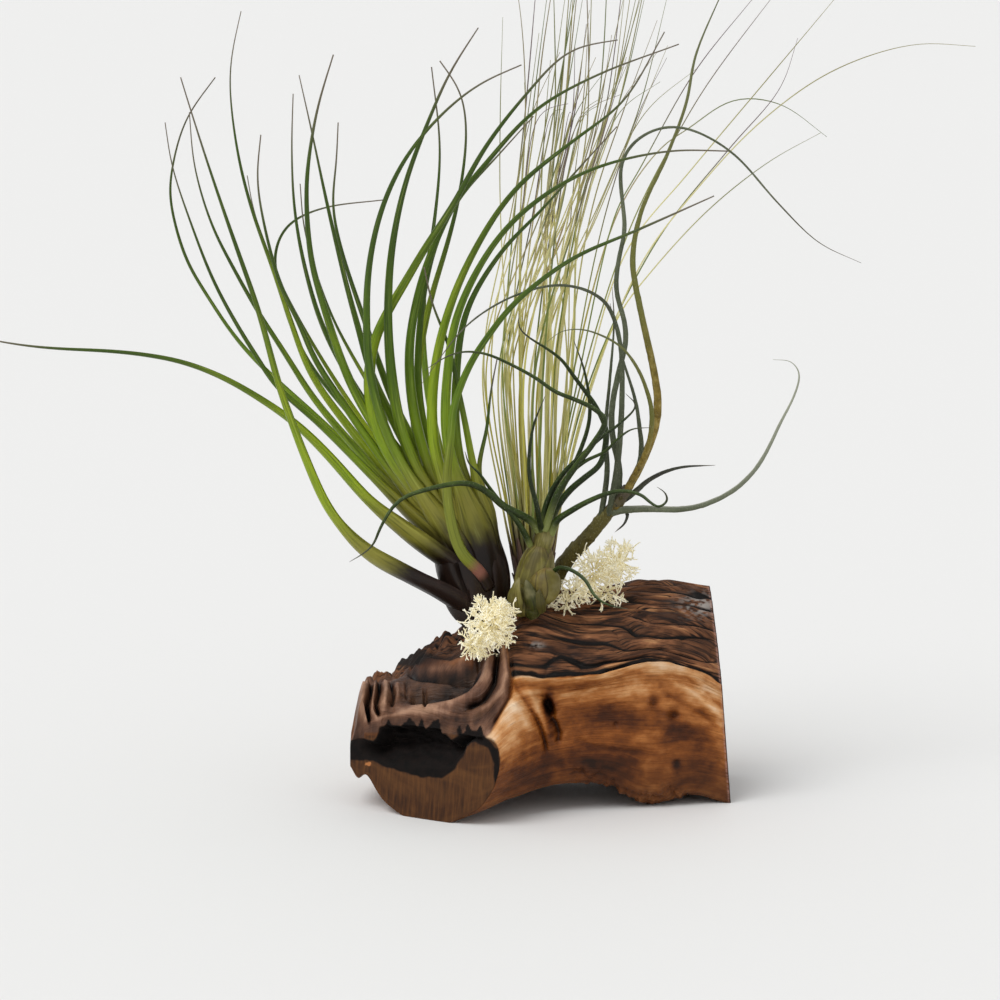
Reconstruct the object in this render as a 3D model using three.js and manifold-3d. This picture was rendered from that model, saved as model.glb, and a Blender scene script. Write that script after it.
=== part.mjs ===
// Four air plants and two tufts of reindeer moss on a piece of driftwood.
// Millimetres, +Z up, +X to the right of the front view, +Y away from it. The wood rests on z = 0.

import * as THREE from 'three';
import { mergeVertices } from 'three/addons/utils/BufferGeometryUtils.js';
import Module from 'manifold-3d';

const wasm = await Module();
wasm.setup();

// ---------------------------------------------------------------- driving dimensions

const GAP = 0.35; // air left between neighbouring pieces
const SEED = 41;

// The object is drawn about the wood and then centred on its own box.
const CENTRE_SHIFT = new THREE.Vector3(6.1, -13, 0);

// Routes are drawn on the front plane y = 0 and pushed back or forward along the line of sight
// from this point, so that a plant keeps its front view whatever depth its leaves take.
const EYE = new THREE.Vector3(7.5, -1580.3, 405.7);

const ROSETTE_BASE_WIDTH = 17; // sheath width of the broad-leaved plant
const ROSETTE_LEAF_WIDTH = 7.6; // its leaves just above the sheaths
const RUSH_BLADES = 52; // blades placed by rule in the rush-like tuft
const RUSH_BLADE_WIDTH = 1.7;
const RUSH_STEPS = 6; // straight lengths that make one blade
const BULB_HEIGHT = 45;

const RIGHT_END = 124.5; // where the sawn right end meets the ground
const RIGHT_END_LEAN = 0.085; // how far it leans back for each millimetre of height
const LEFT_FACE_AT = new THREE.Vector3(-22, -38, 0); // lowest point of the oblique left face
const LEFT_FACE_WAY = new THREE.Vector3(-0.5, -0.86, 0.1);

// ---------------------------------------------------------------- small tools

// A seeded generator, so that every draw is the same on each run.
function dice(seed) {
  let state = seed >>> 0;
  return () => {
    state = (Math.imul(state, 1664525) + 1013904223) >>> 0;
    return state / 4294967296;
  };
}

function mix(a, b, t) {
  return a + (b - a) * t;
}

function smooth(t) {
  const s = Math.min(Math.max(t, 0), 1);
  return s * s * (3 - 2 * s);
}

// Value at t in [0, 1] of a list of evenly spaced values.
function along(values, t) {
  const place = t * (values.length - 1);
  const index = Math.min(Math.floor(place), values.length - 2);
  return mix(values[index], values[index + 1], place - index);
}

// The point that looks like (x, z) from the front when it lies at depth y.
function seen(x, z, y) {
  const push = 1 + y / -EYE.y;
  return new THREE.Vector3(EYE.x + (x - EYE.x) * push, y, EYE.z + (z - EYE.z) * push);
}

// A smooth curve through front-view points, with its depth from an evenly spaced list.
function route(points, depths) {
  const last = points.length - 1;
  const stations = points.map(([x, z], i) => seen(x, z, along(depths, i / last)));
  return new THREE.CatmullRomCurve3(stations, false, 'centripetal');
}

function toManifold(geometry) {
  const bare = geometry.clone();
  bare.deleteAttribute('normal');
  bare.deleteAttribute('uv');
  const welded = mergeVertices(bare, 1e-4);
  return new wasm.Manifold(new wasm.Mesh({
    numProp: 3,
    vertProperties: Float32Array.from(welded.attributes.position.array),
    triVerts: Uint32Array.from(welded.index.array),
  }));
}

function toGeometry(solid) {
  const { vertProperties, triVerts } = solid.getMesh();
  const geometry = new THREE.BufferGeometry();
  geometry.setAttribute('position', new THREE.BufferAttribute(Float32Array.from(vertProperties), 3));
  geometry.setIndex(new THREE.BufferAttribute(Uint32Array.from(triVerts), 1));
  geometry.computeVertexNormals();
  return geometry;
}

// Joins solids two by two, which keeps the number of facets handled at once small. What is kept
// is the one large body: a hollow that the joining seals is filled and a loose scrap dropped.
function fuse(solids) {
  let layer = solids;
  while (layer.length > 1) {
    const next = [];
    for (let i = 0; i < layer.length; i += 2) {
      next.push(i + 1 < layer.length ? layer[i].add(layer[i + 1]) : layer[i]);
    }
    layer = next;
  }
  const bodies = layer[0].decompose();
  return bodies.reduce((largest, body) => (body.volume() > largest.volume() ? body : largest));
}

// Bends a closed cone along a curve: section(t, angle) gives the offset across and outwards,
// inner(point) the direction that the upper side of the blade faces.
function bend(curve, sides, steps, section, inner) {
  const geometry = new THREE.ConeGeometry(1, 1, sides, steps, false);
  const place = geometry.attributes.position;
  const tangentAt = (t) => curve.getTangentAt(Math.min(Math.max(t, 0.001), 0.999));
  for (let i = 0; i < place.count; i += 1) {
    const t = Math.min(Math.max(place.getY(i) + 0.5, 0), 1);
    const radius = Math.hypot(place.getX(i), place.getZ(i));
    const point = curve.getPointAt(t);
    if (radius > 1e-6) {
      const angle = Math.atan2(place.getZ(i), place.getX(i));
      const tangent = tangentAt(t);
      const up = inner(point, t).addScaledVector(tangent, -inner(point, t).dot(tangent)).normalize();
      const across = new THREE.Vector3().crossVectors(tangent, up);
      const [u, v] = section(t, angle);
      point.addScaledVector(across, u).addScaledVector(up, v);
    }
    place.setXYZ(i, point.x, point.y, point.z);
  }
  return geometry;
}

// A channelled blade: four corners, two thin edges turned up and a keel below.
function channelBlade(curve, steps, widthAt, inner, thick) {
  const section = (t, angle) => {
    const half = widthAt(t) / 2;
    const quarter = Math.round(angle / (Math.PI / 2));
    const body = Math.min(thick, half * 0.9);
    if (quarter === 0) return [half, half * 0.35];
    if (Math.abs(quarter) === 2) return [-half, half * 0.35];
    if (quarter === 1) return [0, body * 0.45];
    return [0, -body * 0.75];
  };
  return bend(curve, 4, steps, section, inner);
}

// A solid round blade or stem.
function roundBlade(curve, sides, steps, widthAt, inner) {
  const section = (t, angle) => {
    const radius = widthAt(t) / 2;
    return [radius * Math.cos(angle), radius * Math.sin(angle)];
  };
  return bend(curve, sides, steps, section, inner);
}

// A sphere squashed to three radii and turned so that its long axis follows a lean.
function lobe(centre, radii, lean, rings = 8, sides = 10) {
  const geometry = new THREE.SphereGeometry(1, sides, rings);
  geometry.rotateX(Math.PI / 2);
  geometry.scale(radii[0], radii[1], radii[2]);
  const turn = new THREE.Quaternion().setFromUnitVectors(
    new THREE.Vector3(0, 0, 1), lean.clone().normalize());
  geometry.applyQuaternion(turn);
  geometry.translate(centre.x, centre.y, centre.z);
  return geometry;
}

// ---------------------------------------------------------------- driftwood

// Cross-sections of the wood from left to right: where each lies along x, then ten [y, z] points
// round it: foot, front, shoulder, edge of the bark and bark slope, and on the next line crest,
// back, back foot and two under the belly.
const WOOD_SECTIONS = [
  [-68, [[-8, 21], [-10, 25], [-8, 30], [-3, 33], [4, 34],
    [10, 33], [14, 29], [13, 24], [8, 20], [0, 19]]],
  [-64, [[-13, 16], [-16, 26], [-12, 36], [-8, 44], [4, 52],
    [17, 52], [28, 42], [26, 24], [13, 15], [0, 14]]],
  [-60, [[-17, 19], [-20, 29], [-12, 40], [-7, 53], [6, 60],
    [24, 58], [37, 44], [33, 22], [16, 14], [0, 15]]],
  [-50, [[-25, 7], [-29, 27], [-17, 43], [-11, 52], [4, 58],
    [31, 60], [48, 42], [44, 16], [20, 6], [0, 5]]],
  [-28, [[-38, -2], [-44, 24], [-30, 44.5], [-16, 51], [2, 62],
    [35, 76], [54, 48], [50, 6], [25, 2], [-5, -2]]],
  [-4, [[-45, 7], [-58, 28], [-45, 42], [-32, 54], [-6, 71],
    [38, 86], [62, 60], [58, -2], [30, 1], [-10, 5]]],
  [14, [[-33, 12], [-43, 34], [-39, 58], [-33, 70], [8, 91],
    [45, 94], [64, 62], [60, -2], [30, 6], [-10, 9]]],
  [32, [[-24, 15], [-25, 38], [-27, 60], [-29, 70], [12, 95],
    [45, 98], [66, 62], [62, 10], [30, 12], [0, 14]]],
  [60, [[-17, 14], [-19, 40], [-22, 63], [-23, 72], [12, 94],
    [46, 101], [68, 64], [64, 10], [34, 12], [5, 13]]],
  [82, [[-10, 3], [-15, 38], [-18, 65], [-18, 76], [13, 96],
    [46, 106], [68, 66], [64, -2], [34, 3], [6, 2]]],
  [104, [[-6, 6], [-8, 36], [-9, 61], [-9, 71], [15, 93],
    [44, 104], [64, 64], [60, -2], [34, 3], [8, 4]]],
  [128, [[0, -2], [-1, 30], [-2, 50], [-2, 57], [17, 83],
    [42, 101], [60, 62], [56, -2], [32, 1], [10, -2]]],
];
const BARK_FROM = 0.3; // share of the way round a section where the bark begins and ends
const BARK_TO = 0.62;
const FURROWS = 11; // furrows between those two
const FURROW_DEPTH = 2.6;

// Depth of the bark's long furrows, which wander a little as they run along the wood.
function furrow(x, round) {
  const inside = smooth((round - BARK_FROM) / 0.03) * smooth((BARK_TO - round) / 0.05);
  const share = (round - BARK_FROM) / (BARK_TO - BARK_FROM);
  const drift = 0.35 * Math.sin(x * 0.045) + 0.22 * Math.sin(x * 0.11 + 5 * share);
  const wave = Math.abs(Math.sin(Math.PI * (share * FURROWS + drift)));
  return inside * FURROW_DEPTH * (wave - 0.75);
}

// Upright flutes and a curved terrace on the weathered left end.
function flute(x, round) {
  const left = smooth((2 - x) / 14);
  const band = smooth((round - 0.19) / 0.04) * smooth((0.44 - round) / 0.05);
  const terrace = smooth((round - 0.305) / 0.03) * smooth((0.4 - round) / 0.03);
  return left * (band * 1.5 * Math.sin(x * 0.75 + 2 * Math.sin(x * 0.2)) - terrace * 6);
}

// The raw wood: a closed cylinder whose rings take the shape of the sections.
function woodBlank() {
  const around = 52;
  const slices = 25;
  const rails = WOOD_SECTIONS[0][1].map((_, k) => new THREE.CatmullRomCurve3(
    WOOD_SECTIONS.map(([x, ring]) => new THREE.Vector3(x, ring[k][0], ring[k][1])), false, 'centripetal'));
  // Points are packed closer over the bark than under the belly.
  const spacing = [0, 0.1, 0.2, BARK_FROM, 0.37, 0.44, 0.5, 0.56, BARK_TO, 0.78, 0.9, 1];
  const geometry = new THREE.CylinderGeometry(1, 1, 1, around, slices, false);
  const place = geometry.attributes.position;
  for (let i = 0; i < place.count; i += 1) {
    const slice = place.getY(i) + 0.5;
    const ring = rails.map((rail) => rail.getPoint(slice));
    const radius = Math.hypot(place.getX(i), place.getZ(i));
    const middle = ring.reduce((sum, p) => sum.add(p), new THREE.Vector3()).divideScalar(ring.length);
    if (radius < 1e-6) {
      place.setXYZ(i, middle.x, middle.y, middle.z);
      continue;
    }
    const turn = (Math.atan2(-place.getX(i), place.getZ(i)) / (2 * Math.PI) + 1) % 1;
    const round = along(spacing, turn);
    const outline = new THREE.CatmullRomCurve3(ring, true, 'centripetal');
    const point = outline.getPoint(round % 1);
    const outward = point.clone().sub(middle).setX(0).normalize();
    point.addScaledVector(outward, furrow(point.x, round) + flute(point.x, round));
    place.setXYZ(i, point.x, point.y, point.z);
  }
  return toManifold(geometry);
}

// A block whose face through a point looks along a direction: it cuts off what lies beyond.
function planeCutter(point, direction) {
  const reach = 400;
  const block = new THREE.BoxGeometry(reach, reach, reach);
  block.translate(0, 0, reach / 2);
  block.applyQuaternion(new THREE.Quaternion().setFromUnitVectors(
    new THREE.Vector3(0, 0, 1), direction.clone().normalize()));
  block.translate(point.x, point.y, point.z);
  return toManifold(block);
}

// The rotted pocket in the left face, with a toothed upper edge.
function pocket() {
  const geometry = new THREE.SphereGeometry(1, 18, 10);
  geometry.rotateX(Math.PI / 2);
  const place = geometry.attributes.position;
  for (let i = 0; i < place.count; i += 1) {
    const angle = Math.atan2(place.getZ(i), place.getX(i));
    const bite = 1 + 0.1 * Math.sin(7 * angle) * Math.max(Math.sin(angle), 0);
    place.setXYZ(i, place.getX(i) * 27 * bite, place.getY(i) * 12, place.getZ(i) * 12.5 * bite);
  }
  geometry.rotateZ(-0.52);
  geometry.translate(-32, -34.5, 34);
  return toManifold(geometry);
}

function driftwood(seats) {
  const underside = planeCutter(new THREE.Vector3(0, 0, 0), new THREE.Vector3(0, 0, -1));
  const rightEnd = planeCutter(
    new THREE.Vector3(RIGHT_END, 0, 0), new THREE.Vector3(1, 0, RIGHT_END_LEAN));
  const leftFace = planeCutter(LEFT_FACE_AT, LEFT_FACE_WAY);
  const knotHole = toManifold(lobe(
    new THREE.Vector3(32.5, -24, 55), [3.2, 8, 6.5], new THREE.Vector3(0.2, 0, 1), 6, 8));
  let wood = woodBlank().subtract(underside).subtract(rightEnd).subtract(leftFace);
  wood = wood.subtract(pocket()).subtract(knotHole);
  for (const seat of seats) {
    wood = wood.subtract(seat);
  }
  return wood;
}

// ---------------------------------------------------------------- broad-leaved plant, on the left

const ROSETTE_FOOT = new THREE.Vector3(-2, 12, 92);
const ROSETTE_HEAD = new THREE.Vector3(-13, 12, 150);
const ROSETTE_BACK = new THREE.Vector3(0, 50, 0); // leaves turn their broad side a little forward

// Each leaf from its root to its tip: front-view points, then its depth along the way.
const ROSETTE_LEAVES = [
  // the long leaf that lies out to the left, and the low one that rises in front of it
  [[[-6, 108], [-18, 119], [-30, 128], [-45, 141], [-60, 155], [-80, 178], [-95, 193], [-110, 204],
    [-130, 216], [-150, 224], [-170, 228], [-190, 230], [-210, 231], [-230, 233], [-262, 239]],
   [10, -4, -12, -20, -26], 1.25],
  [[[-6, 103], [-28, 108], [-45, 117], [-60, 127], [-70, 138], [-80, 152], [-91, 178], [-96, 192],
    [-103, 213], [-109, 237], [-114, 255], [-121, 276], [-129, 300], [-137, 325], [-144, 348], [-149, 365]],
   [8, -14, -26, -34, -42], 1.0],
  // the fan of upright leaves on the left
  [[[-10, 112], [-37, 145], [-45, 154], [-65, 175], [-85, 195], [-104, 212], [-115, 229], [-125, 246],
    [-135, 266], [-145, 293], [-154, 322], [-157, 343]], [10, 0, -8, -12], 1.0],
  [[[-8, 112], [-37, 148], [-48, 159], [-66, 178], [-85, 197], [-104, 215], [-122, 234], [-138, 258],
    [-148, 276], [-155, 303], [-155, 315], [-147, 344], [-132, 365]], [16, 22, 45, 70, 90], 0.95],
  [[[-8, 115], [-40, 151], [-62, 177], [-85, 205], [-100, 229], [-113, 250], [-125, 272], [-135, 293],
    [-143, 322], [-145, 348]], [14, 10, 14, 22], 1.0],
  [[[-8, 115], [-38, 151], [-60, 180], [-87, 218], [-97, 245], [-105, 270], [-116, 303], [-122, 330],
    [-125, 360], [-124, 375], [-119, 397]], [14, 18, 30, 44], 1.1],
  [[[-6, 115], [-35, 152], [-62, 190], [-85, 226], [-92, 243], [-101, 262], [-108, 288], [-112, 315],
    [-110, 337]], [10, -4, -18, -28], 1.0],
  [[[-6, 116], [-34, 155], [-60, 192], [-86, 234], [-103, 268], [-114, 300], [-117, 317]],
   [18, 30, 44, 60], 0.8],
  [[[-6, 116], [-34, 156], [-62, 191], [-90, 228], [-102, 262], [-104, 278], [-97, 293], [-80, 301],
    [-50, 305]], [20, 42, 74, 96, 104], 0.75],
  [[[-5, 116], [-30, 158], [-60, 203], [-80, 240], [-89, 270], [-94, 300], [-95, 330], [-94, 357]],
   [12, 8, 10, 16], 1.0],
  [[[-5, 116], [-28, 150], [-48, 180], [-62, 203], [-70, 220], [-79, 248], [-86, 275], [-88, 305],
    [-87, 322], [-82, 350], [-74, 376]], [8, -8, -20, -30], 1.15],
  [[[-4, 116], [-26, 155], [-44, 190], [-57, 218], [-63, 240], [-69, 263], [-78, 303], [-85, 338],
    [-91, 366]], [12, 10, 16, 26], 1.1],
  [[[-4, 116], [-24, 160], [-45, 202], [-60, 245], [-71, 280], [-75, 302], [-73, 325], [-72, 343]],
   [8, -4, -10, -14], 1.0],
  [[[-5, 116], [-30, 165], [-58, 213], [-77, 250], [-89, 290], [-91, 313]], [18, 34, 52, 70], 0.75],
  // the upright middle, and the leaves that arch over to the right
  [[[-4, 112], [-25, 150], [-42, 190], [-47, 222], [-48, 250], [-46, 280], [-39, 313], [-29, 340],
    [-17, 367], [-3, 389]], [6, -14, -28, -40, -48], 1.1],
  [[[-4, 112], [-28, 150], [-48, 185], [-57, 215], [-59, 245], [-57, 275], [-50, 303], [-38, 327],
    [-20, 348], [-2, 362], [18, 371]], [4, -18, -38, -54, -64], 1.0],
  [[[-2, 114], [-20, 150], [-35, 190], [-33, 225], [-27, 255], [-18, 285], [-12, 310], [-9, 340],
    [-12, 358], [-22, 373]], [12, 4, 6, 10], 0.9],
  [[[0, 115], [-14, 150], [-27, 200], [-31, 235], [-30, 262], [-25, 293], [-22, 330], [-26, 370]],
   [20, 44, 78, 108], 0.75],
  [[[-3, 112], [-28, 150], [-50, 180], [-58, 206], [-56, 232], [-48, 250], [-40, 263], [-30, 280],
    [-15, 303], [0, 330], [20, 356], [42, 378], [65, 383]], [6, -8, -16, -26, -34, -40], 1.25],
  [[[-2, 114], [-20, 150], [-34, 190], [-38, 225], [-35, 250], [-28, 275], [-15, 303], [0, 322],
    [25, 349], [55, 366], [95, 381]], [8, -6, -12, -20, -28, -34], 1.0],
  [[[-2, 114], [-18, 150], [-32, 200], [-32, 245], [-24, 283], [-12, 306], [5, 325], [24, 346]],
   [12, 2, -4, -10, -14], 0.9],
  [[[-2, 114], [-16, 150], [-26, 185], [-25, 220], [-18, 250], [-5, 280], [15, 310], [45, 335],
    [68, 353], [88, 387]], [6, -12, -22, -34, -44, -50], 1.05],
  [[[0, 114], [-12, 150], [-20, 185], [-18, 225], [-13, 250], [3, 281], [20, 300], [50, 319],
    [90, 329], [120, 329]], [4, -16, -30, -44, -56, -62], 1.0],
  [[[0, 114], [-10, 150], [-18, 185], [-16, 220], [-10, 250], [8, 279], [28, 300], [45, 319],
    [65, 341]], [8, -6, -10, -18, -24], 0.9],
  // the arching leaf at the front, with a reddish root
  [[[3, 110], [-2, 119], [-9, 124], [-14, 132], [-19, 155], [-19, 170], [-17, 185], [-16, 200], [-12, 213],
    [-6, 226], [2, 238], [12, 251], [25, 263], [45, 277], [75, 290], [113, 307]],
   [4, -14, -24, -36, -48, -60, -72], 1.05],
  [[[0, 112], [0, 140], [-4, 165], [-10, 195], [-14, 215], [-18, 233], [-26, 254], [-30, 272]],
   [4, -6, -18, -24], 0.9],
  [[[2, 112], [0, 140], [-3, 168], [1, 192], [3, 210], [6, 226]], [6, -2, -10, -14], 0.75],
];

function rosetteWidth(scale) {
  return (t) => {
    const sheath = (ROSETTE_BASE_WIDTH - ROSETTE_LEAF_WIDTH) * (1 - smooth(t / 0.28));
    const blade = ROSETTE_LEAF_WIDTH * scale * Math.pow(1 - t, 1.2);
    return sheath + Math.max(blade, 1.2);
  };
}

// The upper side of a leaf looks up and back to the line through the plant's heart.
function towardsHeart(foot, head, lift) {
  const axis = head.clone().sub(foot).normalize();
  return (point) => {
    const offset = point.clone().sub(foot);
    const nearest = foot.clone().addScaledVector(axis, offset.dot(axis));
    return nearest.sub(point).normalize().addScaledVector(new THREE.Vector3(0, 0, 1), lift);
  };
}

function rosetteHeart(extra) {
  const lean = ROSETTE_HEAD.clone().sub(ROSETTE_FOOT);
  const middle = ROSETTE_FOOT.clone().lerp(ROSETTE_HEAD, 0.4);
  return toManifold(lobe(middle, [19 + extra, 15.5 + extra, 26 + extra], lean, 9, 14));
}

function rosette() {
  const inner = towardsHeart(
    ROSETTE_FOOT.clone().add(ROSETTE_BACK), ROSETTE_HEAD.clone().add(ROSETTE_BACK), 0.4);
  const leaves = ROSETTE_LEAVES.map(([points, depths, scale]) => {
    const curve = route(points, depths);
    const steps = Math.round(7 + curve.getLength() / 70);
    return toManifold(channelBlade(curve, steps, rosetteWidth(scale), inner, 1.3));
  });
  return fuse([rosetteHeart(0), ...leaves]);
}

// ---------------------------------------------------------------- rush-like plant, in the middle

const RUSH_FOOT = seen(24, 102, 22);

// Strays that leave the bunch, by hand, as front-view points and depths.
const RUSH_STRAYS = [
  [[[28, 125], [45, 210], [65, 300], [75, 318], [103, 368], [130, 402], [142, 417]], [24, 30, 36, 40]],
  [[[29, 125], [48, 215], [72, 292], [95, 338], [110, 363], [139, 402], [150, 416]], [26, 36, 46, 54]],
  [[[30, 125], [50, 215], [70, 280], [100, 318], [135, 360], [170, 402], [178, 412]], [22, 24, 26, 28]],
  [[[31, 125], [54, 215], [78, 275], [105, 311], [135, 343], [170, 368], [210, 381], [240, 380]],
   [24, 30, 34, 36]],
  [[[30, 126], [52, 215], [85, 285], [120, 330], [145, 360], [153, 384]], [28, 48, 66, 78]],
  [[[32, 125], [50, 205], [67, 249], [80, 267], [110, 300], [140, 324], [165, 338]], [20, 16, 12, 8]],
  [[[27, 126], [44, 220], [66, 300], [86, 330], [100, 340], [122, 354], [145, 352], [168, 336]],
   [30, 60, 90, 110]],
  [[[22, 126], [18, 230], [18, 290], [25, 345], [28, 375], [32, 402], [36, 428]], [20, 22, 26, 30]],
  [[[20, 126], [14, 230], [20, 350], [17, 400], [12, 424]], [24, 34, 50, 60]],
];

function rushWidth(t) {
  const root = 1.4 * (1 - smooth(t / 0.2));
  return root + Math.max(RUSH_BLADE_WIDTH * (1 - t * 0.62), 0.75);
}

// The blades that make the bunch: a sunflower pattern at the foot, opened out towards the tips.
function rushRoutes() {
  const draw = dice(SEED);
  const golden = Math.PI * (3 - Math.sqrt(5));
  const routes = [];
  for (let i = 0; i < RUSH_BLADES; i += 1) {
    const angle = i * golden;
    const out = Math.sqrt((i + 0.5) / RUSH_BLADES);
    const u = out * Math.cos(angle);
    const v = out * Math.sin(angle);
    const tipHeight = mix(345, 442, draw());
    const lean = 0.4 * u + 0.6 * mix(-1, 1, draw());
    const tipSide = 58 + 60 * lean + 4 * lean * lean + mix(-8, 8, draw());
    const bow = mix(-7, 7, draw());
    const middle = 22 + 24 * mix(u, lean, 0.4);
    routes.push(route([
      [24 + 6.5 * u, 112],
      [24 + 15 * u, 150],
      [23 + 25 * u + bow / 2, 225],
      [mix(middle, tipSide, 0.4) + bow, 300],
      [mix(middle, tipSide, 0.72) + bow, 348],
      [tipSide, tipHeight],
    ], [22 + 5 * v, 26 + 12 * v, 32 + 20 * v, 40 + 28 * v, 48 + 36 * v]));
  }
  return routes;
}

function rushHeart(extra) {
  const lean = new THREE.Vector3(0.06, 0.05, 1);
  return toManifold(lobe(seen(24, 114, 23), [9.6 + extra, 8.2 + extra, 22 + extra], lean, 7, 10));
}

function rush() {
  const inner = towardsHeart(RUSH_FOOT, seen(40, 400, 40), 0.1);
  const strays = RUSH_STRAYS.map(([points, depths]) => route(points, depths));
  const blades = [...rushRoutes(), ...strays].map((curve) => toManifold(
    roundBlade(curve, 3, RUSH_STEPS, rushWidth, inner)));
  return fuse([rushHeart(0), ...blades]);
}

// ---------------------------------------------------------------- bulbous plant, in front

const BULB_FOOT = seen(20, 97, -2);
const BULB_NECK = seen(31, 97 + BULB_HEIGHT, -4);

// Leaves from the neck of the bulb: front-view points, depths, and thickness where they leave it.
const BULB_LEAVES = [
  [[[28, 138], [24, 144], [18, 148], [10, 152], [3, 158], [-3, 162], [-10, 164], [-20, 163], [-40, 157],
    [-46, 152], [-50, 146], [-53, 140], [-56, 133], [-60, 129], [-68, 124]],
   [-4, -16, -30, -40, -44, -46], 4.6],
  [[[23, 132], [19.5, 139], [15, 146], [8, 154], [2, 162], [-3, 169], [-8, 174], [-10, 180]],
   [-4, -16, -24, -28], 3.2],
  [[[29, 140], [30, 150], [34, 161], [40, 170], [47, 177], [58, 187], [66, 193], [75, 203], [70, 209]],
   [-6, -12, -16, -20], 3.4],
  [[[32, 140], [34, 153], [42, 168], [50, 175], [60, 180], [66, 186], [73, 191], [83, 192]],
   [-4, -20, -32, -40], 3.0],
  [[[32, 138], [35, 150], [42, 160], [50, 167], [57, 173], [60, 182], [60, 192], [55, 203], [50, 210],
    [44, 218], [38, 226], [30, 232], [22, 237], [17, 242], [17, 249]],
   [-4, -10, -8, -14, -20], 4.0],
  [[[33, 138], [36, 145], [43, 150], [52, 155], [62, 159], [70, 160], [78, 158], [83, 154], [87, 152],
    [91, 155], [90, 159], [86, 162]], [-6, -20, -34, -42], 3.8],
  [[[30, 140], [36, 158], [45, 172], [54, 184], [60, 195], [55, 201], [45, 206], [35, 210], [25, 217],
    [10, 225], [0, 229], [-10, 230], [-18, 228], [-31, 220]],
   [-8, -30, -50, -62, -70], 3.6],
  // two that lean back behind the bulb, towards the moss
  [[[30, 138], [34, 152], [44, 172], [52, 196], [50, 218], [44, 236]], [2, 4, 0, -4], 3.0],
  [[[29, 136], [26, 152], [22, 170], [24, 192], [30, 208]], [-3, -26, -38, -44], 2.8],
];

// The pup's own leaf, which hangs over the moss.
const PUP_LEAF = [[[32, 116], [37, 121], [43, 120], [50, 115], [55, 107], [60, 103], [66, 101], [72, 100]],
  [-8, -20, -34, -44], 2.6];

function bulbWidth(base) {
  return (t) => Math.max(base * Math.pow(1 - t, 0.7), 1.0);
}

// The bulb and its pups are swollen sheaths: one leaning pear and three smaller ones at its foot.
function bulbBodies(extra) {
  const pear = new THREE.Vector3().subVectors(BULB_NECK, BULB_FOOT);
  return [
    lobe(BULB_FOOT.clone().lerp(BULB_NECK, 0.42), [8.8 + extra, 9.2 + extra, 20 + extra], pear, 9, 12),
    lobe(BULB_FOOT.clone().lerp(BULB_NECK, 0.86), [4.9 + extra, 4.9 + extra, 10 + extra], pear, 6, 10),
    lobe(seen(29.5, 111, -10), [7 + extra, 7 + extra, 11.5 + extra], new THREE.Vector3(0.25, -0.1, 1), 7, 10),
    lobe(seen(18, 106, -9), [6.5 + extra, 6 + extra, 10.5 + extra], new THREE.Vector3(-0.15, -0.2, 1), 7, 10),
    lobe(seen(24, 101.5, -11), [5 + extra, 4.6 + extra, 7.5 + extra], new THREE.Vector3(0.1, -0.3, 1), 6, 8),
  ].map(toManifold);
}

function bulbPlant() {
  const inner = towardsHeart(BULB_FOOT, BULB_NECK, 0.4);
  const blade = ([points, depths, base]) => {
    const curve = route(points, depths);
    const steps = Math.round(6 + curve.getLength() / 17);
    return toManifold(roundBlade(curve, 5, steps, bulbWidth(base), inner));
  };
  return fuse([...bulbBodies(0), ...BULB_LEAVES.map(blade), blade(PUP_LEAF)]);
}

// ---------------------------------------------------------------- scurfy plant, on the right

const SCURFY_STEM = [[[31, 103], [35, 115], [41, 125], [50, 135], [59, 146], [66, 154], [71, 161]],
  [40, 36, 28, 20, 12]];

const SCURFY_LEAVES = [
  [[[64, 150], [74, 151], [85, 151], [100, 151], [112, 154], [125, 161], [135, 171], [142, 183],
    [147, 194], [153, 206], [156, 215], [156, 220], [152, 225], [143, 226]],
   [16, 2, -6, -10, -8], 4.6],
  [[[65, 153], [74, 159], [81, 165], [88, 169], [98, 172], [115, 173]], [16, 20, 26], 4.2],
  [[[58, 146], [61, 170], [60, 190], [62, 215], [64, 245], [63, 262]], [22, 10, 2, 0], 2.8],
  [[[66, 152], [67, 172], [64, 185], [63, 200], [67, 222], [70, 235], [69, 246], [65, 260], [66, 275],
    [69, 290], [67, 312], [67, 322], [72, 332], [82, 339], [92, 341], [103, 339], [122, 328], [145, 303],
    [165, 284], [186, 274]], [17, 0, -12, -16, -22, -26, -26], 3.0],
  [[[68, 155], [76, 170], [78, 182], [77, 192], [75, 205], [68, 228], [62, 254]], [16, 8, -2, -8], 2.8],
  [[[67, 154], [77, 172], [82, 185], [83, 200], [80, 212], [75, 223], [68, 232], [58, 238], [48, 241],
    [38, 240], [31, 235]], [16, -8, -26, -34, -38], 3.2],
  [[[66, 151], [79, 176], [85, 193], [86, 206], [84, 220], [80, 238], [76, 256], [73, 275], [77, 299],
    [90, 328], [99, 353], [103, 375], [114, 402], [124, 424]], [17, 3, -10, -14, -16, -18], 4.4],
  [[[62, 148], [66, 172], [68, 200], [68, 225], [66, 240], [60, 254], [49, 261], [34, 263], [15, 258],
    [0, 250], [-10, 242], [-17, 234], [-25, 223], [-32, 213]],
   [19, -10, -22, -40, -58, -74, -84], 3.0],
  [[[67, 152], [71, 149], [70, 144], [65, 139]], [17, 15, 13], 2.6],
];

function scurfyWidth(base) {
  return (t) => base * Math.pow(1 - t, 1.1) + 0.7;
}

function scurfyStem(extra) {
  const curve = route(...SCURFY_STEM);
  const width = (t) => 8.4 + 2 * extra - 3 * t * t;
  return toManifold(roundBlade(curve, 8, 6, width, () => new THREE.Vector3(0, 1, 0.2)));
}

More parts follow.
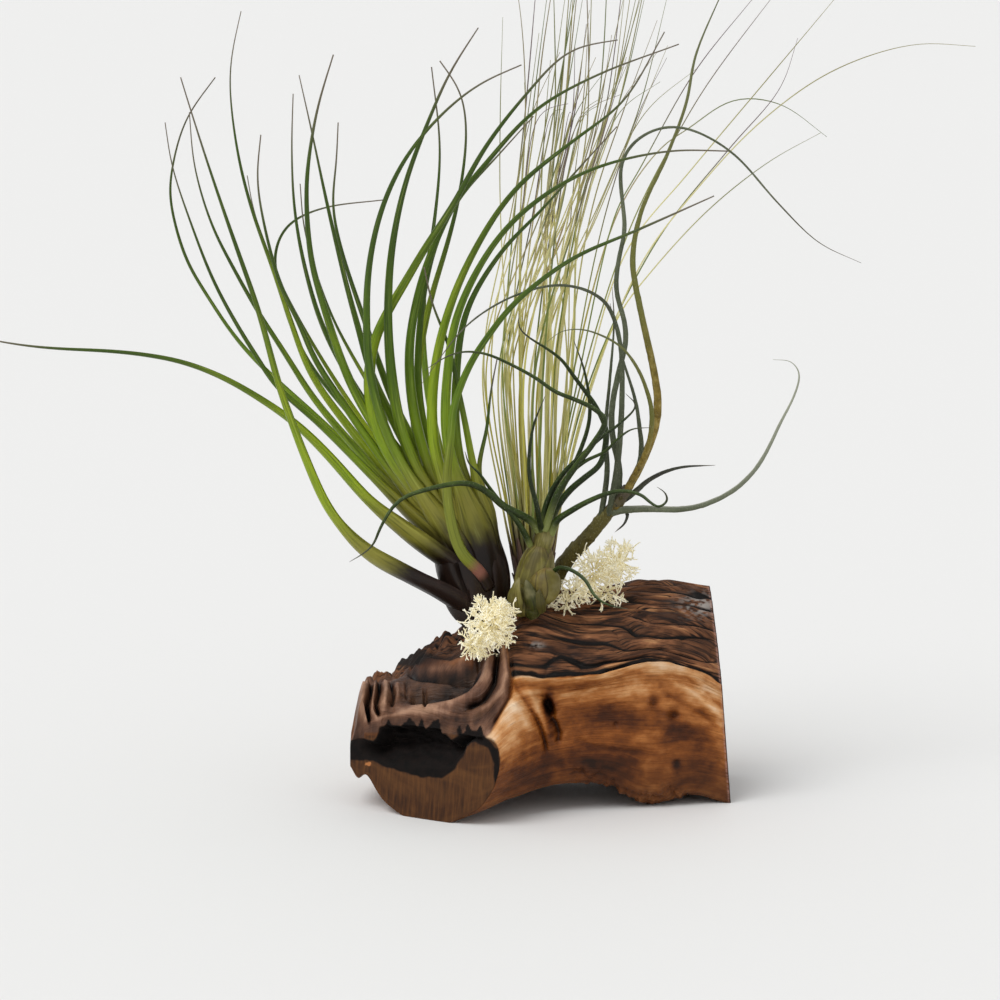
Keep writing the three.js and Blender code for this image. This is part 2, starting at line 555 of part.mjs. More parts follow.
function scurfyPlant() {
  const inner = towardsHeart(seen(60, 148, 12), seen(75, 260, 0), 0.3);
  const blades = SCURFY_LEAVES.map(([points, depths, base]) => {
    const curve = route(points, depths);
    const steps = Math.round(6 + curve.getLength() / 17);
    return toManifold(roundBlade(curve, 5, steps, scurfyWidth(base), inner));
  });
  return fuse([scurfyStem(0), ...blades]);
}

// ---------------------------------------------------------------- reindeer moss

// A tuft: a ball whose surface rises into close twigs. Corners of its net that aren't neighbours
// are drawn out into tips of uneven length, and the corners between them sink to the heart.
function mossTuft(centre, radii, lean, detail, seed) {
  const draw = dice(seed);
  const bare = new THREE.IcosahedronGeometry(1, detail);
  bare.deleteAttribute('normal');
  bare.deleteAttribute('uv');
  const ball = mergeVertices(bare, 1e-4);
  const place = ball.attributes.position;
  const corners = ball.index.array;
  const neighbours = Array.from({ length: place.count }, () => new Set());
  for (let i = 0; i < corners.length; i += 3) {
    const [a, b, c] = [corners[i], corners[i + 1], corners[i + 2]];
    neighbours[a].add(b).add(c);
    neighbours[b].add(a).add(c);
    neighbours[c].add(a).add(b);
  }
  const tips = new Set();
  for (let i = 0; i < place.count; i += 1) {
    if (![...neighbours[i]].some((other) => tips.has(other))) tips.add(i);
  }
  const turn = new THREE.Quaternion().setFromUnitVectors(
    new THREE.Vector3(0, 0, 1), lean.clone().normalize());
  const size = new THREE.Vector3(...radii);
  for (let i = 0; i < place.count; i += 1) {
    const reach = tips.has(i) ? mix(0.9, 1.08, draw()) : mix(0.6, 0.7, draw());
    const point = new THREE.Vector3().fromBufferAttribute(place, i);
    point.multiplyScalar(reach).multiply(size).applyQuaternion(turn).add(centre);
    place.setXYZ(i, point.x, point.y, point.z);
  }
  return toManifold(ball);
}

const FRONT_MOSS = [seen(1, 90, -24), [16.5, 12, 15], new THREE.Vector3(0.1, -0.2, 1), 5, 7];
const BACK_MOSS = [seen(55, 117, 17), [13, 13, 25], new THREE.Vector3(0.9, 0, 0.8), 6, 19];

// The heart of a tuft with room to spare, which clears the wood below it.
function mossRoom([centre, radii, lean]) {
  return toManifold(lobe(centre, radii.map((r) => r * 1.16), lean, 9, 14));
}

// ---------------------------------------------------------------- the whole object

function finish(colour, roughness) {
  return new THREE.MeshStandardMaterial({ color: colour, roughness, metalness: 0 });
}

function named(name, solid, material) {
  const mesh = new THREE.Mesh(toGeometry(solid), material);
  mesh.name = name;
  return mesh;
}

const object = new THREE.Group();
object.position.copy(CENTRE_SHIFT);

const seats = [
  rosetteHeart(GAP), rushHeart(GAP), ...bulbBodies(GAP), scurfyStem(GAP),
  mossRoom(FRONT_MOSS), mossRoom(BACK_MOSS),
];

object.add(named('driftwood', driftwood(seats), finish('#8a5a30', 0.75)));
object.add(named('rosette_plant', rosette(), finish('#5f7f24', 0.45)));
object.add(named('rush_plant', rush(), finish('#a89a45', 0.6)));
object.add(named('bulb_plant', bulbPlant(), finish('#4f6f4a', 0.5)));
object.add(named('scurfy_plant', scurfyPlant(), finish('#6f7650', 0.75)));
object.add(named('moss_front', mossTuft(...FRONT_MOSS), finish('#e9dfb0', 0.95)));
object.add(named('moss_back', mossTuft(...BACK_MOSS), finish('#e9dfb0', 0.95)));

export default object;
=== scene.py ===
# %% [markdown]
# # Air plants on driftwood
# Four air plants and two tufts of reindeer moss are fastened to one piece of driftwood. The solids
# of the frame say where everything is. This script gives each of them a fine surface in the same
# place: swept blades for the leaves, grown twigs for the moss and a carved loft for the wood.

import math

import bpy
import numpy as np
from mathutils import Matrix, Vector


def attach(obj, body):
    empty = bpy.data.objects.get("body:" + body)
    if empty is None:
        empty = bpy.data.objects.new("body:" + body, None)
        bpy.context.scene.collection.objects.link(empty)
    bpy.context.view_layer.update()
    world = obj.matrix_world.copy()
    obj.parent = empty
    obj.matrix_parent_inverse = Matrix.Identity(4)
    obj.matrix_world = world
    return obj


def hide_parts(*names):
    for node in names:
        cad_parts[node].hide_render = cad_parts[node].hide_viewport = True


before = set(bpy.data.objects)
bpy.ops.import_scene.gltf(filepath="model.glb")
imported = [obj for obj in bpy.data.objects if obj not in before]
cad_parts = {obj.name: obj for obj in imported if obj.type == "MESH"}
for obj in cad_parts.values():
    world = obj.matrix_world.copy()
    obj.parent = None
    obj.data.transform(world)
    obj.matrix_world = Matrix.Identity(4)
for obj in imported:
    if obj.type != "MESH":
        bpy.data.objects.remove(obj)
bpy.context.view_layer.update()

# %% [markdown]
# ## Drawing from the front
# A leaf is easiest to draw where it is seen best, on an upright sheet facing the viewer. Each route
# below is a list of points on such a sheet, in millimetres, and a few depths. Every point is then
# pushed along the line of sight to its depth, so the plant keeps its front view and still fans out.

# %% Line of sight
MM = 0.001
CENTRE_SHIFT = np.array((6.1, -13.0, 0.0))  # puts the middle of the arrangement over the origin
EYE = np.array((7.5, -1580.3, 405.7))  # where the photographer stood


def seen(x, z, y):
    """The point that looks like (x, z) from the front when it lies at depth y."""
    push = 1 + y / -EYE[1]
    return np.array((EYE[0] + (x - EYE[0]) * push, y, EYE[2] + (z - EYE[2]) * push))


def front_view(points):
    """The way back: where points of the object are drawn on the front sheet."""
    push = 1 + points[..., 1] / -EYE[1]
    return np.stack((EYE[0] + (points[..., 0] - EYE[0]) / push,
                     EYE[2] + (points[..., 2] - EYE[2]) / push), axis=-1)


print("a leaf tip 60 mm behind the sheet:", seen(100, 300, 60).round(1))

# %% [markdown]
# ## Smooth curves
# A growing leaf has no corners, so its few points are joined by a centripetal
# Catmull-Rom curve: it passes through every point and never loops between two close ones. The same
# curve serves for the wood's outline, where it is closed.

# %% Curves through points


def spline(stations, closed=False):
    """The four coefficients of each stretch of a smooth curve through the stations."""
    s = np.asarray(stations, float)
    around = np.vstack((s[-1:], s, s[:2])) if closed else np.vstack(
        (2 * s[:1] - s[1:2], s, 2 * s[-1:] - s[-2:-1]))
    a, b, c, d = around[:-3], around[1:-2], around[2:-1], around[3:]

    def gap(p, q):
        return np.maximum(np.linalg.norm(q - p, axis=-1, keepdims=True), 1e-6) ** 0.5

    g0, g1, g2 = gap(a, b), gap(b, c), gap(c, d)
    start = ((b - a) / g0 - (c - a) / (g0 + g1) + (c - b) / g1) * g1
    end = ((c - b) / g1 - (d - b) / (g1 + g2) + (d - c) / g2) * g1
    return b, start, 3 * (c - b) - 2 * start - end, 2 * (b - c) + start + end


def on_spline(pieces, share):
    """Points of the curve at shares between 0 and 1 of its stretches."""
    a, b, c, d = pieces
    place = np.clip(np.asarray(share, float) * len(a), 0, len(a) - 1e-9)
    k = place.astype(int)
    f = (place - k)[..., None]
    return a[k] + f * (b[k] + f * (c[k] + f * d[k]))


def smooth(t):
    """An easy step from 0 to 1."""
    s = np.clip(t, 0, 1)
    return s * s * (3 - 2 * s)


def length_along(path):
    """How far each point of a path is from its start."""
    return np.append(0, np.cumsum(np.linalg.norm(np.diff(path, axis=0), axis=1)))


def evenly(dense, count, relax):
    """The points of a dense curve spaced evenly, then relaxed a few times."""
    run = length_along(dense)
    even = np.linspace(0, run[-1], count)
    path = np.stack([np.interp(even, run, dense[:, k]) for k in range(3)], axis=1)
    for _ in range(relax):
        path[1:-1] += 0.5 * ((path[:-2] + path[2:]) / 2 - path[1:-1])
    return path


def pushed(points, depths):
    """Front-view points pushed to their depths, which are spread evenly over the points."""
    share = np.linspace(0, 1, len(points))
    depth = np.interp(share, np.linspace(0, 1, len(depths)), depths)
    return [seen(x, z, y) for (x, z), y in zip(points, depth)]


def route(points, depths, count, relax):
    """Evenly spaced points along a drawn route."""
    return evenly(on_spline(spline(pushed(points, depths)), np.linspace(0, 1, 600)), count, relax)


print("a relaxed arc has", len(route([(0, 0), (40, 60), (100, 70)], [0, 10], 30, 4)), "points")

# %% [markdown]
# ## From routes to blades
# Every leaf here is a section carried along a route, so one sweep serves all four plants. It could
# be a curve object with a bevel, but a mesh lets the section change on the way, and each corner can
# keep notes, such as how far it is from the root, which the finishes read as attributes later.

# %% The sweep


class Growth:
    """Collects many closed blades, then makes one mesh of them."""

    def __init__(self):
        self.corners, self.faces, self.notes, self.total = [], [], {}, 0

    def add(self, rings, **notes):
        """rings is (steps, corners, 3) in millimetres. A note is one number, or one per step, or a
        table with a row per step and a column per corner, either of which may be single."""
        steps, sides, _ = rings.shape
        ends = np.stack((rings[0].mean(axis=0), rings[-1].mean(axis=0)))
        ring = np.arange(steps * sides).reshape(steps, sides) + self.total
        turned = np.roll(ring, -1, axis=1)
        self.faces += np.stack((ring[:-1], turned[:-1], turned[1:], ring[1:]), axis=-1).reshape(-1, 4).tolist()
        low, high = self.total + steps * sides, self.total + steps * sides + 1
        self.faces += [(low, int(b), int(a)) for a, b in zip(ring[0], turned[0])]
        self.faces += [(high, int(a), int(b)) for a, b in zip(ring[-1], turned[-1])]
        self.corners += [rings.reshape(-1, 3), ends]
        for name, value in notes.items():
            value = np.asarray(value, float)
            value = np.broadcast_to(value.reshape(-1, 1) if value.ndim < 2 else value, (steps, sides))
            both = np.append(value.ravel(), (value[0].mean(), value[-1].mean()))
            self.notes.setdefault(name, []).append(both)
        self.total += steps * sides + 2

    def mesh(self, name):
        """The blades as one smooth-shaded object, in metres."""
        places = (np.concatenate(self.corners) + CENTRE_SHIFT) * MM
        return new_object(name, places, self.faces, {k: np.concatenate(v) for k, v in self.notes.items()})


def new_object(name, places, faces, notes):
    """A smooth-shaded object in the scene, with its notes as attributes."""
    mesh = bpy.data.meshes.new(name)
    mesh.from_pydata(places.tolist(), [], faces)
    for note, values in notes.items():
        mesh.attributes.new(note, "FLOAT", "POINT").data.foreach_set("value", values.astype(np.float32))
    mesh.polygons.foreach_set("use_smooth", np.ones(len(mesh.polygons), bool))
    mesh.update()
    piece = bpy.data.objects.new(name, mesh)
    bpy.context.scene.collection.objects.link(piece)
    print(name, len(places), "corners")
    return piece


def unit(v):
    return v / np.maximum(np.linalg.norm(v, axis=-1, keepdims=True), 1e-9)


def carry(path, inner, twist=0.0):
    """Across and up directions along a path: up leans towards inner, one direction or one per step."""
    tangent = unit(np.gradient(path, axis=0))
    up = unit(inner - np.sum(inner * tangent, axis=1, keepdims=True) * tangent)
    for _ in range(6):
        up[1:-1] = unit(up[:-2] + 2 * up[1:-1] + up[2:])
    up = unit(up - np.sum(up * tangent, axis=1, keepdims=True) * tangent)
    across = np.cross(tangent, up)
    turn = np.linspace(0, twist, len(path))[:, None]
    return across * np.cos(turn) + up * np.sin(turn), up * np.cos(turn) - across * np.sin(turn)


def sweep(path, across, up, section):
    """Rings of a section, given as (steps, corners, 2), carried along the path."""
    return path[:, None] + section[..., :1] * across[:, None] + section[..., 1:] * up[:, None]


def round_section(radius, sides, flat=1.0):
    """A round or slightly flat section; radius is one number per step."""
    angle = -np.linspace(0, 2 * np.pi, sides, endpoint=False)
    circle = np.stack((np.cos(angle), np.sin(angle) * flat), axis=-1)
    return np.asarray(radius)[:, None, None] * circle


def towards_heart(path, foot, head, lift):
    """Each point's direction back to the line through a plant's heart, lifted a little."""
    axis = unit(head - foot)
    offset = path - foot
    nearest = foot + (offset @ axis)[:, None] * axis
    return unit(nearest - path) + np.array((0, 0, lift))


def lean_frame(lean):
    """Directions along, beside and in front of a leaning body."""
    axis = unit(np.asarray(lean, float))
    side = unit(np.cross(axis, (0.0, 1.0, 0.0)))
    return axis, side, np.cross(axis, side)


print("a ring of six:", round_section([1.0], 6).shape)

# %% [markdown]
# ## Fields of noise
# Bark, bites and wrinkles need a random height that is the same on every run. A small table of
# seeded numbers, read smoothly in three directions, gives that, and a few layers of it at finer and
# finer scale give bark. It is worked out here rather than by a modifier, so that it shapes the mesh.

# %% Noise in millimetres
TABLE_SIDE = 32
noise_table = np.random.default_rng(11).random((TABLE_SIDE,) * 3)


def field(points):
    """Smooth values from 0 to 1 at (n, 3) points, one lattice step per unit."""
    base = np.floor(points).astype(int)
    f = points - base
    f = f * f * (3 - 2 * f)
    value = 0.0
    for corner in range(8):
        step = np.array((corner & 1, corner >> 1 & 1, corner >> 2 & 1))
        weight = np.prod(np.where(step == 1, f, 1 - f), axis=-1)
        i, j, k = np.moveaxis((base + step) % TABLE_SIDE, -1, 0)
        value = value + weight * noise_table[i, j, k]
    return value


def layered(points, layers):
    """Layers of the field, each half as strong and twice as fine."""
    total = sum(0.5 ** n * field(points * 2 ** n + 7.3 * n) for n in range(layers))
    return total / sum(0.5 ** n for n in range(layers))


print("noise from", layered(np.random.default_rng(1).random((500, 3)) * 20, 4).min().round(2))

# %% [markdown]
# ## The wood's shape
# The real piece is the foot of a root: bare wood in front, furrowed bark over the top, a sawn right
# end and an oblique cut on the left where a pocket has rotted out. A sculpt would do, but a loft is
# easier to keep true to the frame: cross-sections of ten points each, joined along the wood.

# %% Cross-sections of the wood
# Ten points round each section, as (depth, height): foot, front, shoulder, edge of the bark, bark
# slope, crest, back, back foot, and two under the belly.
WOOD_SECTIONS = [
    (-68, [(-8, 21), (-10, 25), (-8, 30), (-3, 33), (4, 34), (10, 33), (14, 29), (13, 24), (8, 20), (0, 19)]),
    (-64, [(-13, 16), (-16, 26), (-12, 36), (-8, 44), (4, 52), (17, 52), (28, 42), (26, 24), (13, 15), (0, 14)]),
    (-60, [(-17, 19), (-20, 29), (-12, 40), (-7, 53), (6, 60), (24, 58), (37, 44), (33, 22), (16, 14), (0, 15)]),
    (-50, [(-25, 7), (-29, 27), (-17, 43), (-11, 52), (4, 58), (31, 60), (48, 42), (44, 16), (20, 6), (0, 5)]),
    (-28, [(-38, -2), (-44, 24), (-30, 44.5), (-16, 51), (2, 62), (35, 76), (54, 48), (50, 6), (25, 2), (-5, -2)]),
    (-4, [(-45, 7), (-58, 28), (-45, 42), (-32, 54), (-6, 71), (38, 86), (62, 60), (58, -2), (30, 1), (-10, 5)]),
    (14, [(-33, 12), (-43, 34), (-39, 58), (-33, 70), (8, 91), (45, 94), (64, 62), (60, -2), (30, 6), (-10, 9)]),
    (32, [(-24, 15), (-25, 38), (-27, 60), (-29, 70), (12, 95), (45, 98), (66, 62), (62, 10), (30, 12), (0, 14)]),
    (60, [(-17, 14), (-19, 40), (-22, 63), (-23, 72), (12, 94), (46, 101), (68, 64), (64, 10), (34, 12), (5, 13)]),
    (82, [(-10, 3), (-15, 38), (-18, 65), (-18, 76), (13, 96), (46, 106), (68, 66), (64, -2), (34, 3), (6, 2)]),
    (104, [(-6, 6), (-8, 36), (-9, 61), (-9, 71), (15, 93), (44, 104), (64, 64), (60, -2), (34, 3), (8, 4)]),
    (128, [(0, -2), (-1, 30), (-2, 50), (-2, 57), (17, 83), (42, 101), (60, 62), (56, -2), (32, 1), (10, -2)]),
]
BARK_FROM, BARK_TO = 0.3, 0.62
RIDGE_GAP = 7.4
RIGHT_END, RIGHT_END_LEAN = 124.5, 0.085
LEFT_FACE_AT = np.array((-22.0, -38.0, 0.0))
LEFT_FACE_WAY = unit(np.array((-0.5, -0.86, 0.1)))
FINE = 1.0


def wood_loft():
    """A dense grid over the wood: places, share of the way round, and how far into an end cap."""
    around, slices, cap_rings = int(620 * FINE), int(430 * FINE), int(60 * FINE)
    rings = np.array([[(x, y, z) for y, z in ring] for x, ring in WOOD_SECTIONS], float)
    rails = [spline(rings[:, k]) for k in range(rings.shape[1])]
    stretch = np.linspace(0, 1, slices)
    along = np.stack([on_spline(rail, stretch) for rail in rails], axis=1)
    turn = np.linspace(0, 1, around, endpoint=False)
    spacing = [0, 0.1, 0.2, BARK_FROM, 0.37, 0.44, 0.5, 0.56, BARK_TO, 0.78, 0.9, 1]
    share = np.interp(turn, np.linspace(0, 1, len(spacing)), spacing)
    grid = np.stack([on_spline(spline(ring, closed=True), share) for ring in along])
    middle = along.mean(axis=1)
    inwards = np.linspace(1, 0.02, cap_rings)[1:, None, None]
    left = middle[0] + (grid[0] - middle[0]) * inwards[::-1]
    right = middle[-1] + (grid[-1] - middle[-1]) * inwards
    places = np.concatenate((left, grid, right))
    cap = np.concatenate((1 - inwards[::-1, 0, 0], np.zeros(slices), 1 - inwards[:, 0, 0]))
    out = places - np.concatenate((np.repeat(middle[:1], cap_rings - 1, 0), middle,
                                   np.repeat(middle[-1:], cap_rings - 1, 0)))[:, None]
    out[..., 0] = 0
    return places, np.broadcast_to(share, places.shape[:2]), np.broadcast_to(cap[:, None], places.shape[:2]), unit(out)


wood_places, wood_round, wood_cap, wood_out = wood_loft()
print("wood grid", wood_places.shape)

# %% [markdown]
# ## Carving the wood
# What makes driftwood is what time took away. The furrows of the bark run along the piece, the
# weathered end is fluted upright, and single marks, such as the crease, the knot hole and the rim
# of the old branch socket, are drawn on the front sheet as lines that the surface sinks or swells
# along. Then the two saw cuts flatten what stands beyond them.

# %% Distances to drawn lines


def line_distance(at, line):
    """Distance of front-view points to a drawn line, and how far along it the nearest point is."""
    line = np.asarray(line, float)
    best = np.full(at.shape[:-1], 1e9)
    where = np.zeros(at.shape[:-1])
    for k, (p, q) in enumerate(zip(line[:-1], line[1:])):
        span = q - p
        share = np.clip(((at - p) @ span) / (span @ span), 0, 1)
        gap = np.linalg.norm(at - p - share[..., None] * span, axis=-1)
        where = np.where(gap < best, (k + share) / (len(line) - 1), where)
        best = np.minimum(best, gap)
    return best, where


def inside(at, outline):
    """Signed distance to a drawn outline, positive inside."""
    gap, _ = line_distance(at, list(outline) + [outline[0]])
    hit = np.zeros(at.shape[:-1], bool)
    for (x0, z0), (x1, z1) in zip(outline, list(outline[1:]) + [outline[0]]):
        crosses = (z0 > at[..., 1]) != (z1 > at[..., 1])
        slope = (x1 - x0) / ((z1 - z0) if z1 != z0 else 1e-9)
        hit ^= crosses & (at[..., 0] < x0 + (at[..., 1] - z0) * slope)
    return np.where(hit, gap, -gap)


print("middle of a square of ten:", inside(np.array([[5.0, 5.0]]), [(0, 0), (10, 0), (10, 10), (0, 10)]), "mm inside")

# %% Marks on the wood
# Drawn marks: a line, how far it sinks (negative) or swells, and its half width.
WOOD_MARKS = [
    # the rounded rim of the old socket, the bowl below its ledge, and the lip over the pocket
    ([(-44, 47), (-30, 48), (-18, 50), (-8, 54), (-1, 61), (2.5, 68), (3, 78)], 4.6, 3.0),
    ([(-40, 54), (-28, 54), (-16, 57), (-8, 62), (-4.5, 68)], -4.2, 4.2),
    ([(-40, 68), (-32, 66), (-26, 65.4), (-20, 65.2), (-15, 65), (-9, 66.5), (-3, 71), (-1.5, 77)], -7.0, 1.9),
    ([(-34, 73), (-29, 70.5), (-20, 69), (-12, 70), (-7, 74)], 4.2, 1.6),
    ([(-65, 66), (-60, 64.5), (-54, 66)], 2.4, 2.4),
    ([(-60, 40.5), (-50, 44.5), (-36, 46), (-20, 46), (-8, 44)], 1.4, 1.4),
    # upright folds at the far left, and cracks in the bowl
    ([(-60.5, 62), (-62.3, 54), (-62.8, 46), (-61.5, 40)], 3.8, 2.3),
    ([(-57.4, 65), (-57.8, 58), (-59.8, 50), (-58.6, 41)], -5.4, 1.05),
    ([(-55.4, 63), (-56.2, 55), (-57.0, 47), (-55.6, 42)], 2.4, 1.1),
    ([(-53.4, 66), (-53.4, 59), (-55.2, 51), (-53.6, 45)], -4.4, 0.85),
    ([(-50.6, 65), (-50.0, 57), (-51.2, 48)], 3.2, 1.9),
    ([(-47.6, 62), (-46.0, 56), (-47.2, 50)], -3.2, 0.75),
    ([(-44.4, 62), (-43.6, 54)], 1.2, 1.4),
    ([(-40, 63), (-39.5, 54)], -1.6, 0.7),
    ([(-30.5, 60), (-30, 53), (-30.5, 47)], -3.0, 0.7),
    ([(-17, 59), (-17.5, 52)], -1.6, 0.7),
    # the twist between the socket and the bare front
    ([(8, 82), (9, 72), (10.5, 64), (8.5, 57), (2, 50), (-7, 45)], 3.4, 2.0),
    ([(6, 76), (6.2, 68), (5, 61), (-1, 53), (-10, 48.5)], -4.6, 1.3),
    ([(12.6, 72), (13.5, 63), (12.6, 55), (8, 47), (3.5, 39)], -2.6, 1.1),
    ([(14, 62), (18.3, 56), (23, 48.5)], -1.4, 1.2),
    ([(22, 50), (25.5, 44), (28, 38), (30, 31), (31, 24)], -2.8, 1.2),
    ([(21, 59), (26, 51), (29.5, 43), (32.5, 34)], 1.6, 2.0),
    ([(33, 44), (35.5, 41), (37.5, 35), (36.5, 30)], -3.0, 1.4),
    ([(13, 52), (20, 44), (24, 36)], 1.6, 3.0),
    ([(14, 64), (28, 63.5), (44, 63), (56, 65)], 2.0, 1.8),
    ([(14, 59.5), (24, 60.5), (36, 59), (48, 60), (60, 62)], -1.6, 1.6),
    ([(56, 65), (68, 68), (82, 72), (97, 70), (112, 61)], 1.8, 3.0),
    ([(40, 50), (60, 46), (80, 44), (100, 36), (118, 30)], -1.8, 8.0),
    ([(94, 62), (104, 57), (113, 50), (122, 42)], 1.6, 1.8),
    ([(90, 57), (100, 52), (110, 46), (119, 38)], -1.4, 1.6),
    ([(100, 66), (110, 59), (118, 51), (123, 46)], -1.2, 1.2),
    ([(70, 12), (80, 10), (90, 10), (98, 16)], 1.0, 6.0),
    ([(44, 33), (56, 27), (70, 25), (84, 27)], -1.4, 2.6),
]
TORN_EDGES = [(48, 15), (58, 13), (64, 10), (68, 4), (76, 1), (86, 3), (90, 8), (98, 4)]
# The weathered hollow where a branch once sat, outlined on the front sheet.
SOCKET = [(-67, 36), (-65, 56), (-60, 68), (-50, 68), (-42, 71), (-30, 70), (-16, 69), (-7, 71), (-2, 82), (7, 82),
          (11, 73), (13.5, 64), (12.5, 54), (7.5, 45), (3.2, 36), (0, 33), (-20, 34), (-48, 36)]
WOOD_PITS = [(35.5, 35, 1.6), (85, 52, 2.4), (95, 45.5, 3.0), (97, 20, 1.8), (119, 20.5, 2.0), (46, 53, 1.6),
             (66, 40, 1.4), (20, 33, 1.6)]
KNOT_HOLE = (32.0, 50.5)
print(len(WOOD_MARKS), "drawn marks,", len(WOOD_PITS), "pits and a knot hole")

# %% Carving
GIRTH = 300.0  # how far it is round the wood, near enough


def carve(places, share, cap, out):
    """Moves the loft's corners by bark, flutes and drawn marks. Says where each is, and where shade and highlight are
    painted.
    """
    at = front_view(places)
    x, y, z = np.moveaxis(places, -1, 0)
    girth = share * GIRTH
    facing = smooth((-out[..., 1] + 0.55) / 0.5)
    body = 1 - smooth(cap / 0.05)

    def grain(long, wide, slot, layers):
        """A noise that runs with the wood, long by wide millimetres."""
        return layered(np.stack((x / long, girth / wide, 0 * x + slot), -1), layers)

    def lump(long, deep, tall):
        """A noise from -0.5 to 0.5 that fills space."""
        return layered(np.stack((x / long, y / deep, z / tall), -1), 3) - 0.5

    # the furrows wander as they run, and are deeper in some places than in others
    wander = grain(46, 26, 0, 3) * 26 + 2.4 * grain(11, 7, 6, 2)
    ridge = np.abs(np.sin(np.pi * (girth + wander) / RIDGE_GAP))
    small = np.abs(np.sin(np.pi * (1.3 * girth + 2.1 * wander) / RIDGE_GAP))
    bold = 0.35 + 1.2 * grain(24, 12, 3, 2)
    crack = bold * np.exp(-(ridge / 0.3) ** 2)
    fibre = layered(np.stack((x / 26, (girth + wander) / 1.9, 0 * x), -1), 2)
    ragged = share + 0.012 * (grain(7, 9, 8, 3) - 0.5)
    bark = smooth((ragged - BARK_FROM + 0.004) / 0.008) * smooth((BARK_TO - share) / 0.06) * body
    seam = np.exp(-((ragged - BARK_FROM - 0.006) / 0.006) ** 2) * body
    band = smooth(inside(at, SOCKET) / 1.6 + 0.3) * smooth((26 - y) / 8) * smooth((0.6 - share) / 0.1)
    bark = bark * (1 - band)
    relief = (2.6 * bold * (ridge ** 0.6 - 0.7) + 1.3 * (small ** 0.6 - 0.7) + 5.0 * (grain(26, 14, 9, 3) - 0.45)
              + 1.2 * (fibre - 0.5))
    height = bark * relief - 1.6 * seam * (1 - band)
    # deep marks where shade is painted: the bottoms of the bark's furrows and the groove along the bark's edge
    deep = np.maximum(bark * np.clip(crack + 0.4 * np.exp(-(small / 0.3) ** 2), 0, 1), seam * (1 - band) * (x > -4))

    # the weathered end is fluted upright, its upper edge is torn, and the bare wood swells a little
    height += band * ((0.8 + 3.0 * smooth((-44 - x) / 8)) * (grain(4.6, 70, 2, 3) - 0.5))
    torn = smooth((4 - x) / 10) * smooth((share - 0.42) / 0.05) * smooth((0.6 - share) / 0.05) * body
    height += torn * 17.0 * (layered(np.stack((x / 5, y / 5, 0 * x + 4), -1), 3) - 0.55)
    height += (1 - bark) * body * (1 - band) * 3.0 * lump(30, 18, 18)

    # what is drawn on the front sheet: relief, with painted shade along the sunken marks
    # and painted highlight along the swelling ones
    mark_shade_and_highlight = np.zeros_like(x)
    for line, rise, half in WOOD_MARKS:
        gap, where = line_distance(at, line)
        fade = 0.25 + 0.75 * smooth(where / 0.12) * smooth((1 - where) / 0.12)
        height += facing * body * rise * fade * np.exp(-(gap / half) ** 2)
        mark_shade_and_highlight -= facing * body * fade * np.clip(rise / 5, -1, 0.5) * np.exp(-(gap / half / 0.8) ** 2)
    gap, _ = line_distance(at, TORN_EDGES)
    height += facing * body * 8.0 * lump(3.4, 5, 5) * np.exp(-(gap / 4) ** 2)
    for px, pz, size in WOOD_PITS:
        gap = np.hypot(at[..., 0] - px, at[..., 1] - pz)
        height -= facing * body * 1.1 * size * np.exp(-(gap / size) ** 2)
    over, up = at[..., 0] - KNOT_HOLE[0], at[..., 1] - KNOT_HOLE[1]
    hole = np.hypot((over + 0.35 * up) / 2.3, up / 5.6)
    height -= facing * body * 9.0 * np.exp(-hole ** 4)
    return places + out * height[..., None], bark, band, deep, mark_shade_and_highlight


wood_places, wood_bark, wood_band, wood_furrow_shade, wood_mark_shade_and_highlight = carve(wood_places, wood_round, wood_cap, wood_out)
print("carved, box", wood_places.reshape(-1, 3).min(0).round(1), wood_places.reshape(-1, 3).max(0).round(1))

# %% [markdown]
# ## Saw cuts and the rotted pocket
# A flat cut could be a Boolean, but on a surface this fine it is quicker to slide every corner that
# stands beyond the cut back onto its plane: the edge stays crisp and the corners stay evenly
# spread, so the rotted pocket can then be pressed into the cut, with its toothed upper edge.

# %% Cuts, pocket and flat feet
POCKET = [(-57, 21.5), (-63, 21.5), (-69, 22), (-69, 32), (-63, 33), (-57, 32.5), (-55, 35), (-53, 38.5), (-48.8, 41),
          (-41, 42), (-33, 39.5), (-26.6, 41), (-23, 39), (-17, 33), (-13, 35), (-9, 38.6), (-3, 36.7), (2.6, 31.5),
          (6.5, 28), (8, 12), (5.2, 5), (4.2, 20), (1.5, 28.5), (-5, 31), (-9, 29), (-11, 24), (-15, 17.5),
          (-22, 13.2), (-33, 13), (-44, 16.5), (-54, 20)]


def cut(places):
    """Both saw cuts. Also says which corners lie on the left and right cuts, and the worn right edge."""
    beyond = (places - LEFT_FACE_AT) @ LEFT_FACE_WAY
    on_left = smooth((beyond + 0.6) / 0.6)
    places = places - np.maximum(beyond, 0)[..., None] * LEFT_FACE_WAY
    past = places[..., 0] + RIGHT_END_LEAN * places[..., 2] - RIGHT_END
    on_right = smooth((past + 0.4) / 0.4)
    worn = np.exp(-((past + 0.7) / 0.55) ** 2)
    places[..., 0] -= np.maximum(past, 0)
    return places, on_left, on_right, worn


